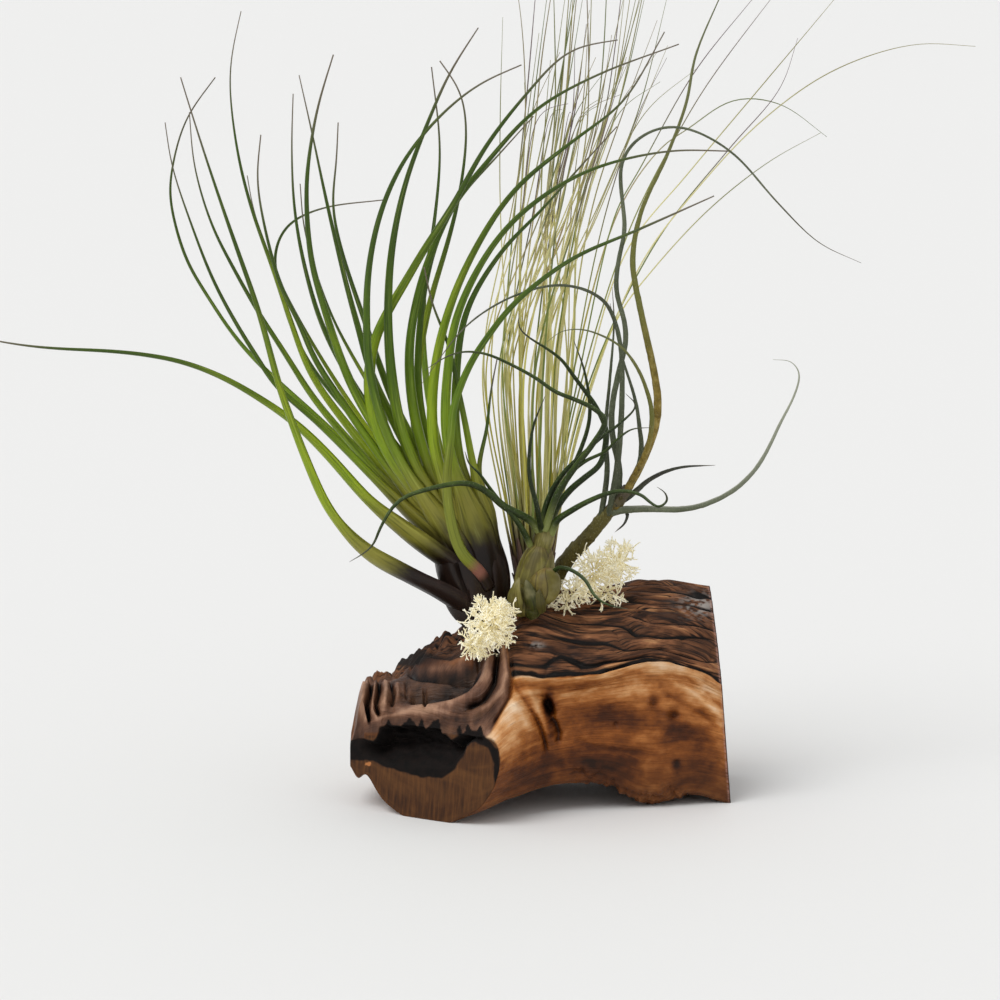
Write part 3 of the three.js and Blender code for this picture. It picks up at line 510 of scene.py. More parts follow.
def rot_and_hollow_shade(places, on_left):
    """Presses the pocket into the left cut. Returns how dark each corner is (decay and painted shade), and what is lip.
    """
    at = front_view(places)
    x, y, z = np.moveaxis(places, -1, 0)
    teeth = (field(np.stack((x / 2.1, z / 12, y * 0), -1)) - 0.45) * 7.5 * smooth((at[..., 1] - 34) / 4)
    bite = (layered(np.stack((x / 6, z / 6, y / 6), -1), 3) - 0.5) * 2.2
    depth_in = inside(at, POCKET) + teeth + bite
    # past the left cut the black spreads over the front as painted shade of the hollow
    reach = np.maximum(on_left, smooth((at[..., 1] - 29) / 3) * smooth((12 - y) / 6))
    dark = smooth((depth_in + 0.5) / 1.0) * reach
    upper = smooth((at[..., 1] - 17) / 15) * smooth((2 - at[..., 0]) / 12) * smooth((at[..., 0] + 64) / 9)
    floor = layered(np.stack((x / 9, z / 5, y / 9), -1), 3)
    sink = smooth(depth_in / 4.5) * on_left * upper * (7.0 + 10 * floor)
    knob = smooth((-60 - at[..., 0]) / 1.5) * smooth((at[..., 1] - 22) / 2)
    over = smooth((at[..., 1] - 34) / 3) * smooth((6 - at[..., 0]) / 4)
    lip = on_left * (1 - dark) * np.maximum(knob, over)
    dark = np.maximum(dark, smooth((depth_in + 0.5) / 1.0) * smooth((-58 - at[..., 0]) / 2) * smooth((20 - y) / 6))
    return places - sink[..., None] * LEFT_FACE_WAY, dark, lip


wood_places, wood_left, wood_right, wood_worn = cut(wood_places)
wood_places, wood_rot_and_hollow_shade, wood_lip = rot_and_hollow_shade(wood_places, wood_left)
wood_band = np.maximum(wood_band, wood_lip)
wood_places[..., 2] = np.maximum(wood_places[..., 2], 0.0)
print("share of corners dark with rot", (wood_rot_and_hollow_shade > 0.5).mean().round(3))

# %% [markdown]
# ## Seats for the plants
# The plants aren't balanced on the bark but settle into it. Three of the solids hover 5 to 8 mm above
# the solid wood, so the bark swells up under their feet, by up to 9 mm. It is then pushed down
# wherever it would reach into a foot, since a Boolean would leave a hard rim.

# %% Swells and hollows under the feet
# Swells of the bark: centre on the wood (along it, depth), how high and how wide.
WOOD_SWELLS = [((23, -4), 9.0, 15.0), ((8, -20), 6.0, 11.0), ((3, 11), 7.0, 13.0)]
ROSETTE_FOOT, ROSETTE_HEAD = np.array((-2.0, 12.0, 92.0)), np.array((-13.0, 12.0, 150.0))
BARK_TOP = 60.0  # only what is higher than this is raised or lowered
# Hollows: centre, half width and half height of the egg that is pressed in.
WOOD_SEATS = [
    (ROSETTE_FOOT + 0.4 * (ROSETTE_HEAD - ROSETTE_FOOT), 19.5, 26.5),
    (seen(24, 114, 23), 9.5, 22.5),
    (seen(24, 116, -3), 9.5, 21.0),
    (seen(29.5, 110, -6), 7.5, 12.0),
    (seen(18, 106, -9), 7.0, 11.0),
    (seen(24, 101.5, -11), 5.4, 8.0),
]


def settle(places):
    """Raises the top of the wood to meet the feet, and lowers it below every foot."""
    top = smooth((places[..., 2] - BARK_TOP) / 12)
    for (x, y), rise, reach in WOOD_SWELLS:
        far = np.hypot(places[..., 0] - x, places[..., 1] - y) / reach
        places[..., 2] += top * rise * np.exp(-far ** 2)
    for centre, wide, tall in WOOD_SEATS:
        out = np.hypot(places[..., 0] - centre[0], places[..., 1] - centre[1]) / wide
        under = centre[2] - tall * np.sqrt(np.clip(1 - out ** 2, 0, 1))
        hit = (out < 1) & (places[..., 2] > under) & (places[..., 2] > BARK_TOP)
        places[..., 2] = np.where(hit, under, places[..., 2])
    return places


wood_places = settle(wood_places)
print("settled, top of the wood at", wood_places[..., 2].max().round(1))

# %% Light, dark and bleached places
# Light and dark fields of the wood, on the front sheet: where, how wide and tall, how strong. Some
# are the wood's own tone, such as the orange chip and the dark right edge; the others are painted
# highlights on lit edges, bulges and the ledge, and painted shade under the crevice, outside the rim,
# in the pits and the knot hole, on the bark's underside and low on the front.
WOOD_TONES_AND_PAINTED_LIGHT = [
    (12, 46, 9, 12, 0.85), (-1, 33, 8, 11, 0.7), (24, 66, 14, 3, 0.35), (86, 70, 26, 5, 0.5), (112, 57, 10, 7, 0.7),
    (120, 36, 6, 14, 0.3), (70, 56, 16, 5, 0.25), (10, 30, 10, 9, 0.25), (44, 55, 12, 4, 0.3),
    (56, 20, 26, 8, -0.85), (58, 42, 20, 8, -0.2), (92, 32, 20, 8, -0.1), (33, 40, 2.5, 8, -0.5), (33, 54, 3, 5, -0.6),
    (108, 12, 16, 8, -0.5), (16, 14, 16, 8, -0.5), (85, 52, 3, 4, -0.6), (95, 45.5, 3, 3.5, -0.6),
    (97, 20, 2, 2.5, -0.9),
    (48, 67, 8, 2, -0.3), (72, 68, 7, 1.6, -0.3), (31.5, 50, 2.0, 5, -1.2), (124, 40, 2, 40, -0.3),
    (-50, 52, 9, 9, 0.35), (-34, 47, 16, 2.5, 0.4), (-14, 61, 12, 5, -0.5), (-28, 58, 10, 5, -0.2), (2, 64, 4, 6, 0.3),
    (-61, 62, 3, 5, 0.4), (-25, 73.5, 14, 3, -0.5), (-22, 69.3, 9, 1.4, 0.6), (-42, 76, 16, 7, -1.0),
    (3, 50, 6, 12, -0.6), (-10, 44, 9, 3, -0.5), (26, 50, 3, 8, 0.15), (-59, 20, 3.2, 1.7, 1.6),
    (80, 10, 16, 6, -0.5), (-64, 30, 3, 6, -0.7),
]
# Where the bark has bleached.
ASHEN_SPOTS = [(108, 102, 9, 5, 1), (26, 81.5, 3, 1.4, 1), (-58, 66, 2, 1.5, 1)]


def blots(at, fields):
    """The sum of soft spots on the front sheet."""
    total = np.zeros(at.shape[:-1])
    for x, z, wide, tall, strength in fields:
        total += strength * np.exp(-((at[..., 0] - x) / wide) ** 2 - ((at[..., 1] - z) / tall) ** 2)
    return total


wood_at = front_view(wood_places)
patchy = layered(wood_at.reshape(-1, 2) @ np.array(((0.5, 0, 0), (0, 0.9, 0))), 3).reshape(wood_at.shape[:-1])
wood_tone_and_painted_light = blots(wood_at, WOOD_TONES_AND_PAINTED_LIGHT)
wood_ashen = blots(wood_at, ASHEN_SPOTS) * smooth((patchy - 0.4) / 0.2)
print("lightest and darkest field", wood_tone_and_painted_light.max().round(2), wood_tone_and_painted_light.min().round(2))

# %% The wood as a mesh


def wood_object():
    """The grid as one closed mesh."""
    rows, cols, _ = wood_places.shape
    ring = np.arange(rows * cols).reshape(rows, cols)
    turned = np.roll(ring, -1, axis=1)
    quads = np.stack((ring[:-1], ring[1:], turned[1:], turned[:-1]), axis=-1).reshape(-1, 4).tolist()
    quads += [ring[0].tolist(), ring[-1][::-1].tolist()]
    places = (wood_places.reshape(-1, 3) + CENTRE_SHIFT) * MM
    notes = {"bark": wood_bark, "band": wood_band, "rot_and_hollow_shade": wood_rot_and_hollow_shade, "sawn_left": wood_left * (1 - wood_lip),
             "sawn_right": wood_right, "deep": wood_furrow_shade, "mark_shade_and_highlight": wood_mark_shade_and_highlight, "shade": wood_tone_and_painted_light, "ashen": wood_ashen,
             "girth": wood_round * GIRTH, "worn": wood_worn}
    return new_object("driftwood_piece", places, quads, {k: v.ravel() for k, v in notes.items()})


driftwood = wood_object()

# %% [markdown]
# ## A strap leaf
# An air plant drinks through its leaves, so they are channelled to lead water down to the base: in
# section a leaf is a thin arc, thick along the middle and fine at its edges. The section is worked
# out from the arc's half angle, and the sheath at the root is the same arc, only wider and flatter.

# %% Strap section


def strap(path, inner, width, thick, curl, twist=0.0, across_points=7):
    """Rings of a channelled leaf, and how far across it each corner is, from -1 to 1.

    width, thick and curl are one number per step."""
    across, up = carry(path, inner, twist)
    s = np.linspace(-1, 1, across_points)
    curl = np.asarray(curl)[:, None]
    radius = np.asarray(width)[:, None] / 2 / np.sin(np.minimum(curl, 1.5))
    angle = s * curl
    skin = np.stack((radius * np.sin(angle), radius * (1 - np.cos(angle))), axis=-1)
    facing = np.stack((-np.sin(angle), np.cos(angle)), axis=-1)
    body = np.asarray(thick)[:, None] * (0.2 + 0.8 * np.sqrt(np.clip(1 - s ** 2, 0, 1)))
    under = skin - facing * body[..., None]
    loop = np.concatenate((skin, under[:, -2:0:-1]), axis=1)
    loop[..., 1] += np.asarray(thick)[:, None] / 2
    return sweep(path, across, up, loop), np.concatenate((s, s[-2:0:-1]))


dice = np.random.default_rng(41)
flat = strap(route([(0, 0), (9, 9)], [0], 5, 0), np.array((0.0, 1.0, 0.0)), *np.full((3, 5), 1.0))
print("corners round a strap:", len(flat[1]))

# %% [markdown]
# ## The broad-leaved plant
# Its leaves grow as a rosette: each starts as a broad sheath hugging the plant's egg-shaped base,
# narrows over a few centimetres and then runs out in a long arch. So each path starts on the egg, at
# the leaf's own bearing, and joins the route drawn on the front sheet where the leaf comes free.

# %% Rosette routes
# Each leaf: front-view points, depths, breadth, bearing of its sheath (270 faces the front) and how
# far out the sheath lies, from 0 in the heart to 1 outside.
ROSETTE_LEAVES = [
    # the long leaf that lies out to the left, and the low one that rises in front of it
    ([(-6, 108), (-18, 119), (-30, 128), (-45, 141), (-60, 155), (-80, 178), (-95, 193), (-110, 204), (-130, 216),
      (-150, 224), (-170, 228), (-190, 230), (-210, 231), (-230, 233), (-262, 239)],
     [10, -4, -12, -20, -26], 1.25, 238, 0.95),
    ([(-6, 103), (-28, 108), (-45, 117), (-60, 127), (-70, 138), (-80, 152), (-91, 178), (-96, 192), (-103, 213),
      (-109, 237), (-114, 255), (-121, 276), (-129, 300), (-137, 325), (-144, 348), (-149, 365)],
     [8, -14, -26, -34, -42], 1.0, 212, 1.0),
    # the fan of upright leaves on the left
    ([(-10, 112), (-37, 145), (-45, 154), (-65, 175), (-85, 195), (-104, 212), (-115, 229), (-125, 246), (-135, 266),
      (-145, 293), (-154, 322), (-157, 343)], [10, 0, -8, -12], 1.0, 208, 0.85),
    ([(-8, 112), (-37, 148), (-48, 159), (-66, 178), (-85, 197), (-104, 215), (-122, 234), (-138, 258), (-148, 276),
      (-155, 303), (-155, 315), (-147, 344), (-132, 365)], [16, 22, 45, 70, 90], 0.95, 155, 0.8),
    ([(-8, 115), (-40, 151), (-62, 177), (-85, 205), (-100, 229), (-113, 250), (-125, 272), (-135, 293), (-143, 322),
      (-145, 348)], [14, 10, 14, 22], 1.0, 182, 0.75),
    ([(-8, 115), (-38, 151), (-60, 180), (-87, 218), (-97, 245), (-105, 270), (-116, 303), (-122, 330), (-125, 360),
      (-124, 375), (-119, 397)], [14, 18, 30, 44], 1.1, 165, 0.7),
    ([(-6, 115), (-35, 152), (-62, 190), (-85, 226), (-92, 243), (-101, 262), (-108, 288), (-112, 315), (-110, 337)],
     [10, -4, -18, -28], 1.0, 222, 0.7),
    ([(-6, 116), (-34, 155), (-60, 192), (-86, 234), (-103, 268), (-114, 300), (-117, 317)],
     [18, 30, 44, 60], 0.8, 140, 0.6),
    ([(-6, 116), (-34, 156), (-62, 191), (-90, 228), (-102, 262), (-104, 278), (-97, 293), (-80, 301), (-50, 305)],
     [20, 42, 74, 96, 104], 0.75, 118, 0.9),
    ([(-5, 116), (-30, 158), (-60, 203), (-80, 240), (-89, 270), (-94, 300), (-95, 330), (-94, 357)],
     [12, 8, 10, 16], 1.0, 188, 0.5),
    ([(-5, 116), (-28, 150), (-48, 180), (-62, 203), (-70, 220), (-79, 248), (-86, 275), (-88, 305), (-87, 322),
      (-82, 350), (-74, 376)], [8, -8, -20, -30], 1.15, 240, 0.7),
    ([(-4, 116), (-26, 155), (-44, 190), (-57, 218), (-63, 240), (-69, 263), (-78, 303), (-85, 338), (-91, 366)],
     [12, 10, 16, 26], 1.1, 176, 0.4),
    ([(-4, 116), (-24, 160), (-45, 202), (-60, 245), (-71, 280), (-75, 302), (-73, 325), (-72, 343)],
     [8, -4, -10, -14], 1.0, 232, 0.5),
    ([(-5, 116), (-30, 165), (-58, 213), (-77, 250), (-89, 290), (-91, 313)], [18, 34, 52, 70], 0.75, 128, 0.5),
    # the upright middle, and the leaves that arch over to the right
    ([(-4, 112), (-25, 150), (-42, 190), (-47, 222), (-48, 250), (-46, 280), (-39, 313), (-29, 340), (-17, 367),
      (-3, 389)], [6, -14, -28, -40, -48], 1.1, 250, 0.8),
    ([(-4, 112), (-28, 150), (-48, 185), (-57, 215), (-59, 245), (-57, 275), (-50, 303), (-38, 327), (-20, 348),
      (-2, 362), (18, 371)], [4, -18, -38, -54, -64], 1.0, 245, 0.9),
    ([(-2, 114), (-20, 150), (-35, 190), (-33, 225), (-27, 255), (-18, 285), (-12, 310), (-9, 340), (-12, 358),
      (-22, 373)], [12, 4, 6, 10], 0.9, 290, 0.4),
    ([(0, 115), (-14, 150), (-27, 200), (-31, 235), (-30, 262), (-25, 293), (-22, 330), (-26, 370)],
     [20, 44, 78, 108], 0.75, 80, 0.8),
    ([(-3, 112), (-28, 150), (-50, 180), (-58, 206), (-56, 232), (-48, 250), (-40, 263), (-30, 280), (-15, 303),
      (0, 330), (20, 356), (42, 378), (65, 383)], [6, -8, -16, -26, -34, -40], 1.25, 255, 0.6),
    ([(-2, 114), (-20, 150), (-34, 190), (-38, 225), (-35, 250), (-28, 275), (-15, 303), (0, 322), (25, 349),
      (55, 366), (95, 381)], [8, -6, -12, -20, -28, -34], 1.0, 272, 0.5),
    ([(-2, 114), (-18, 150), (-32, 200), (-32, 245), (-24, 283), (-12, 306), (5, 325), (24, 346)],
     [12, 2, -4, -10, -14], 0.9, 300, 0.45),
    ([(-2, 114), (-16, 150), (-26, 185), (-25, 220), (-18, 250), (-5, 280), (15, 310), (45, 335), (68, 353),
      (88, 387)], [6, -12, -22, -34, -44, -50], 1.05, 280, 0.75),
    ([(0, 114), (-8, 150), (-19, 185), (-18, 225), (-13, 250), (3, 281), (20, 300), (50, 319), (90, 329),
      (120, 329)], [4, -16, -30, -44, -56, -62], 1.0, 300, 0.95),
    ([(0, 114), (-6, 150), (-14, 185), (-14, 220), (-9, 250), (8, 279), (28, 300), (45, 319), (65, 341)],
     [8, -6, -10, -18, -24], 0.9, 318, 0.8),
    # the arching leaf at the front, with a reddish root
    ([(3, 110), (-2, 119), (-9, 124), (-14, 132), (-19, 155), (-19, 170), (-17, 185), (-16, 200), (-12, 213), (-6, 226),
      (2, 238), (12, 251), (25, 263), (45, 277), (75, 290), (113, 307)],
     [-4, -14, -24, -36, -48, -60, -72], 0.62, 275, 1.1),
    ([(0, 112), (0, 140), (-4, 165), (-10, 195), (-14, 215), (-18, 233), (-26, 254), (-30, 272)],
     [4, -6, -18, -24], 0.9, 345, 0.8),
    ([(2, 112), (0, 140), (-3, 168), (1, 192), (3, 210), (6, 226)], [6, -2, -10, -14], 0.75, 10, 0.9),
]
FRONT_LEAF = 24
SLENDER = {0: 1.15, 10: 1.3, 14: 1.2, 15: 1.4, 18: 1.35, 19: 1.4, 21: 1.4, 22: 1.4, 24: 1.1}  # others are finer
SHEATH_RISE = [(93, 8.0), (99, 14.0), (109, 18.5), (121, 19.5), (131, 18.0)]
EGG_DEPTH = 0.82  # the egg is a little flatter from front to back


def rosette_path(leaf, count):
    """A leaf's path: up the egg at its bearing, then along its own route."""
    points, depths, _, bearing, outer = leaf
    way = np.array((math.cos(math.radians(bearing)), math.sin(math.radians(bearing)), 0))
    low_leaf = points[2][1] < 130
    free_from = 107 if low_leaf else 140
    rises = SHEATH_RISE[:2] if low_leaf else SHEATH_RISE
    egg = []
    for height, out in rises:
        part = (height - ROSETTE_FOOT[2]) / (ROSETTE_HEAD[2] - ROSETTE_FOOT[2])
        centre = ROSETTE_FOOT + part * (ROSETTE_HEAD - ROSETTE_FOOT)
        egg.append(centre + way * (1, EGG_DEPTH, 1) * out * (0.62 + 0.38 * outer))
    if leaf is ROSETTE_LEAVES[FRONT_LEAF]:
        egg, free_from = [], 0
    free = [place for place, (_, z) in zip(pushed(points, depths), points) if z > free_from]
    return evenly(on_spline(spline(egg + free), np.linspace(0, 1, 700)), count, count // 10)


long_leaf = length_along(rosette_path(ROSETTE_LEAVES[0], 90))[-1]
print(len(ROSETTE_LEAVES), "leaves, the first of them", long_leaf.round(), "mm long")

# %% Rosette leaves
ROSETTE_BLADE = 7.6
ROSETTE_SHEATH = 27.0
BACKWARD = np.array((0.0, 50.0, 0.0))


def rosette_leaf(growth, leaf, index):
    """One leaf with its sheath."""
    steps = 150
    path = rosette_path(leaf, steps)
    breadth, outer = leaf[2], leaf[4]
    run = length_along(path)
    t = run / run[-1]
    rooted = (1 - smooth((run - 22) / 70)) * (0.06 if index == FRONT_LEAF else 1)
    width = ROSETTE_BLADE * breadth * np.maximum(1 - t, 0.0) ** SLENDER.get(index, 1.4) + 0.5
    width = width + (ROSETTE_SHEATH * (0.7 + 0.3 * outer) - ROSETTE_BLADE) * rooted * (0.7 + 0.3 * smooth(run / 14))
    thick = np.minimum(1.5 - 0.9 * t, width * 0.5)
    curl = 0.85 + 0.35 * smooth((run - 40) / 90)
    near = towards_heart(path, ROSETTE_FOOT, ROSETTE_HEAD, 0.15)
    far = towards_heart(path, ROSETTE_FOOT + BACKWARD, ROSETTE_HEAD + BACKWARD, 0.4)
    free = smooth((run - 30) / 60)[:, None]
    twist = dice.uniform(-0.35, 0.35)
    rings, across = strap(path, unit(near * (1 - free) + far * free), width, thick, curl, twist)
    growth.add(rings, run=run, share=t, across=across[None], tint=dice.random(), leaf=index,
               blush=float(index == FRONT_LEAF))


def rosette_leaves():
    growth = Growth()
    for index, leaf in enumerate(ROSETTE_LEAVES):
        rosette_leaf(growth, leaf, index)
    return growth.mesh("rosette_leaves")


def lobe_rings(centre, radii, lean):
    """An egg-shaped body as rings, its long axis along lean."""
    rings, sides = 40, 48
    axis, side, front = lean_frame(lean)
    lift = np.cos(np.linspace(0, np.pi, rings + 2)[1:-1])[::-1]
    wide = np.sqrt(1 - lift ** 2)
    angle = np.linspace(0, 2 * np.pi, sides, endpoint=False)
    round_part = (np.cos(angle)[None, :, None] * side * radii[0] + np.sin(angle)[None, :, None] * front * radii[1])
    return np.asarray(centre) + lift[:, None, None] * axis * radii[2] + wide[:, None, None] * round_part


def rosette_core():
    """The short stem that the sheaths hide, closed so that nothing shows through them."""
    growth = Growth()
    middle = ROSETTE_FOOT + 0.3 * (ROSETTE_HEAD - ROSETTE_FOOT)
    growth.add(lobe_rings(middle, (17.0, 13.0, 23.0), ROSETTE_HEAD - ROSETTE_FOOT), run=0.0)
    return growth.mesh("rosette_core")


rosette = rosette_leaves()
core = rosette_core()

# %% [markdown]
# ## The rush-like plant
# This one is a dense tuft of wiry, almost round blades. They are placed by rule: a sunflower
# pattern at the foot, opened out towards the tips, with a few strays, given one by one, where the real
# tuft has them. Papery brown sheath scales hold the bunch together at its base.

# %% Rush routes
RUSH_BLADES = 52
RUSH_FOOT, RUSH_TOP = seen(24, 102, 22), seen(40, 400, 40)
RUSH_STRAYS = [
    ([(28, 125), (45, 210), (65, 300), (75, 318), (103, 368), (130, 402), (142, 417)], [24, 30, 36, 40]),
    ([(29, 125), (48, 215), (72, 292), (95, 338), (110, 363), (139, 402), (150, 416)], [26, 36, 46, 54]),
    ([(30, 125), (50, 215), (70, 280), (100, 318), (135, 360), (170, 402), (178, 412)], [22, 24, 26, 28]),
    ([(31, 125), (54, 215), (78, 275), (105, 311), (135, 343), (170, 368), (210, 381), (240, 380)],
     [24, 30, 34, 36]),
    ([(30, 126), (52, 215), (85, 285), (120, 330), (145, 360), (153, 384)], [28, 48, 66, 78]),
    ([(32, 125), (50, 205), (67, 249), (80, 267), (110, 300), (140, 324), (165, 338)], [20, 16, 12, 8]),
    ([(27, 126), (44, 220), (66, 300), (86, 330), (100, 340), (122, 354), (145, 352), (168, 336)],
     [30, 60, 90, 110]),
    ([(22, 126), (18, 230), (18, 290), (25, 345), (28, 375), (32, 402), (36, 428)], [20, 22, 26, 30]),
    ([(20, 126), (14, 230), (20, 350), (17, 400), (12, 424)], [24, 34, 50, 60]),
]


def linear_dice(seed):
    """The same seeded draws that place the solids' blades."""
    state = seed
    while True:
        state = (state * 1664525 + 1013904223) % 2 ** 32
        yield state / 2 ** 32


def rush_routes():
    """Routes of the blades that make the bunch."""
    draw = linear_dice(41)
    routes = []
    for i in range(RUSH_BLADES):
        angle = i * math.pi * (3 - math.sqrt(5))
        out = math.sqrt((i + 0.5) / RUSH_BLADES)
        u, v = out * math.cos(angle), out * math.sin(angle)
        height = 345 + 97 * next(draw)
        lean = 0.4 * u + 0.6 * (2 * next(draw) - 1)
        side = 58 + 60 * lean + 4 * lean * lean - 8 + 16 * next(draw)
        bow = -7 + 14 * next(draw)
        middle = 22 + 24 * (0.6 * u + 0.4 * lean)
        points = [(24 + 6.5 * u, 112), (24 + 15 * u, 150), (23 + 25 * u + bow * 0.5, 225),
                  (middle + (side - middle) * 0.4 + bow, 300), (middle + (side - middle) * 0.72 + bow, 348),
                  (side, height)]
        routes.append((points, [22 + 5 * v, 26 + 12 * v, 32 + 20 * v, 40 + 28 * v, 48 + 36 * v]))
    return routes


print(len(rush_routes()), "blades by rule,", len(RUSH_STRAYS), "by hand")

# %% Rush blades and scales


def rush_blades():
    growth = Growth()
    for index, (points, depths) in enumerate(rush_routes() + RUSH_STRAYS):
        path = route(points, depths, 80, 3)
        run = length_along(path)
        t = run / run[-1]
        width = 1.4 * (1 - 0.6 * t) * (1 - smooth((t - 0.8) / 0.2) * 0.5) + 1.4 * (1 - smooth(run / 50))
        across, up = carry(path, towards_heart(path, RUSH_FOOT, RUSH_TOP, 0.1))
        rings = sweep(path, across, up, round_section(width / 2, 7, 0.72))
        inner = index < RUSH_BLADES // 4
        tint = dice.uniform(0.6, 0.95) if inner else dice.random()
        growth.add(rings, run=run, share=t, tint=tint, leaf=index)
    return growth.mesh("rush_blades")


GOLDEN_TURN = 2.39996  # radians: each scale then stands in the widest gap between the others
RUSH_SCALES = 22


def rush_sheaths():
    """Papery scales round the foot of the bunch."""
    growth = Growth()
    t = np.linspace(0, 1, 24)
    width = 6.8 * (1 - t) ** 0.6 + 0.8
    thick = np.minimum(0.9 * (1 - 0.6 * t), width * 0.5)
    for k in range(RUSH_SCALES):
        bearing = k * GOLDEN_TURN
        way = np.array((math.cos(bearing), math.sin(bearing), 0))
        tall = 16 + 26 * (k / RUSH_SCALES)
        spread = 5.6 + 2.2 * (k / RUSH_SCALES)
        path = np.stack([RUSH_FOOT + (0, 0, -4 + tall * s) + way * spread * (0.75 + 0.35 * math.sin(2.3 * s))
                         for s in t])
        path[:, 0] += 4.8 * t ** 2 * way[0]
        rings, across = strap(path, -way, width, thick, 0.9 + 0.2 * t)
        growth.add(rings, run=tall * t, across=across[None], tint=dice.random(), leaf=k)
    return growth.mesh("rush_sheaths")


rush = rush_blades()
rush_foot = rush_sheaths()

# %% [markdown]
# ## The bulbous plant
# The bulb is made of thick hollow sheaths wrapped round each other, with two pups and a green shoot
# at its foot, and its leaves are round, snaking tubes that taper slowly. Each sheath is a patch of
# an egg's surface, lifted a little more along its edge, so that the wrapping shows as a seam.

# %% Snaking leaves
# Each leaf: front-view points, depths and its width at the root.
BULB_LEAVES = [
    ([(28, 138), (24, 144), (18, 148), (10, 152), (3, 158), (-3, 162), (-10, 164), (-20, 163), (-40, 157),
      (-46, 152), (-50, 146), (-53, 140), (-56, 133), (-60, 129), (-68, 124)], [-4, -16, -30, -40, -44, -46], 4.6),
    ([(23, 132), (19.5, 139), (15, 146), (8, 154), (2, 162), (-3, 169), (-8, 174), (-10, 180)],
     [-4, -16, -24, -28], 3.2),
    ([(29, 140), (30, 150), (34, 161), (40, 170), (47, 177), (58, 187), (66, 193), (75, 203), (70, 209)],
     [-6, -12, -16, -20], 3.4),
    ([(32, 140), (34, 153), (42, 168), (50, 175), (60, 180), (66, 186), (73, 191), (83, 192)],
     [-4, -20, -32, -40], 3.0),
    ([(32, 138), (35, 150), (42, 160), (50, 167), (57, 173), (60, 182), (60, 192), (55, 203), (50, 210), (44, 218),
      (38, 226), (30, 232), (22, 237), (17, 242), (17, 249)], [-4, -10, -8, -14, -20], 4.0),
    ([(33, 138), (36, 145), (43, 150), (52, 155), (62, 159), (70, 160), (78, 158), (83, 154), (87, 152), (91, 155),
      (90, 159), (86, 162)], [-6, -20, -34, -42], 3.8),
    ([(30, 140), (36, 158), (45, 172), (54, 184), (60, 195), (55, 201), (45, 206), (35, 210), (25, 217), (10, 225),
      (0, 229), (-10, 230), (-18, 228), (-31, 220)], [-8, -30, -50, -62, -70], 3.6),
    ([(30, 138), (34, 152), (44, 172), (52, 196), (50, 218), (44, 236)], [2, 4, 0, -4], 3.0),
    ([(29, 136), (26, 152), (22, 170), (24, 192), (30, 208)], [-3, -26, -38, -44], 2.8),
    ([(32, 116), (37, 121), (43, 120), (50, 115), (55, 107), (60, 103), (66, 101), (72, 100)],
     [-8, -20, -34, -44], 2.6),
]


def snaking(growth, leaves, thinning, steps, tip=0.45, wobble=0.0, tints=None):
    """Round tapering leaves with a shallow groove on their upper side."""
    for index, (points, depths, base) in enumerate(leaves):
        path = route(points, depths, steps, 4)
        run = length_along(path)
        t = run / run[-1]
        width = base * np.maximum(1 - t, 0) ** thinning + tip * (1 - 0.6 * smooth((t - 0.8) / 0.2))
        across, up = carry(path, np.array((0.0, 0.3, 1.0)))
        section = round_section(width / 2, 12, 0.86)
        groove = np.exp(-((section[..., 0] / (width[:, None] * 0.22)) ** 2)) * (section[..., 1] > 0)
        section[..., 1] -= groove * width[:, None] * 0.16
        rings = sweep(path, across, up, section)
        if wobble:
            out = unit(rings - path[:, None])
            bumps = layered(rings.reshape(-1, 3) / 2.1, 2).reshape(rings.shape[:2]) - 0.5
            rings = rings + out * (wobble * bumps * np.minimum(width / 4, 1)[:, None])[..., None]
        tint = tints[index] if tints else dice.random()
        upper = np.clip(2.4 * section[..., 1] / width[:, None], -1, 1)
        growth.add(rings, share=t, tint=tint, upper=upper)


def bulb_leaves():
    growth = Growth()
    snaking(growth, BULB_LEAVES, 0.72, 110)
    return growth.mesh("bulb_leaves")


bulb = bulb_leaves()

# %% A wrapped sheath
BULB_FOOT, BULB_NECK = seen(20, 97, -2), seen(31, 142, -4)
# Egg-shaped bodies: centre, radii and the way that they lean.
PEAR = (BULB_FOOT + 0.42 * (BULB_NECK - BULB_FOOT), (8.8, 9.2, 20.0), BULB_NECK - BULB_FOOT)
NECK = (BULB_FOOT + 0.86 * (BULB_NECK - BULB_FOOT), (4.9, 4.9, 10.0), BULB_NECK - BULB_FOOT)
RIGHT_PUP = (seen(30, 111.5, -10), (7.8, 7.2, 9.8), np.array((0.3, -0.1, 1)))
LEFT_PUP = (seen(17.4, 104.2, -9), (6.2, 6.0, 8.6), np.array((-0.15, -0.2, 1)))
SHOOT = (seen(24, 101.5, -11), (5.0, 4.6, 7.5), np.array((0.1, -0.3, 1)))


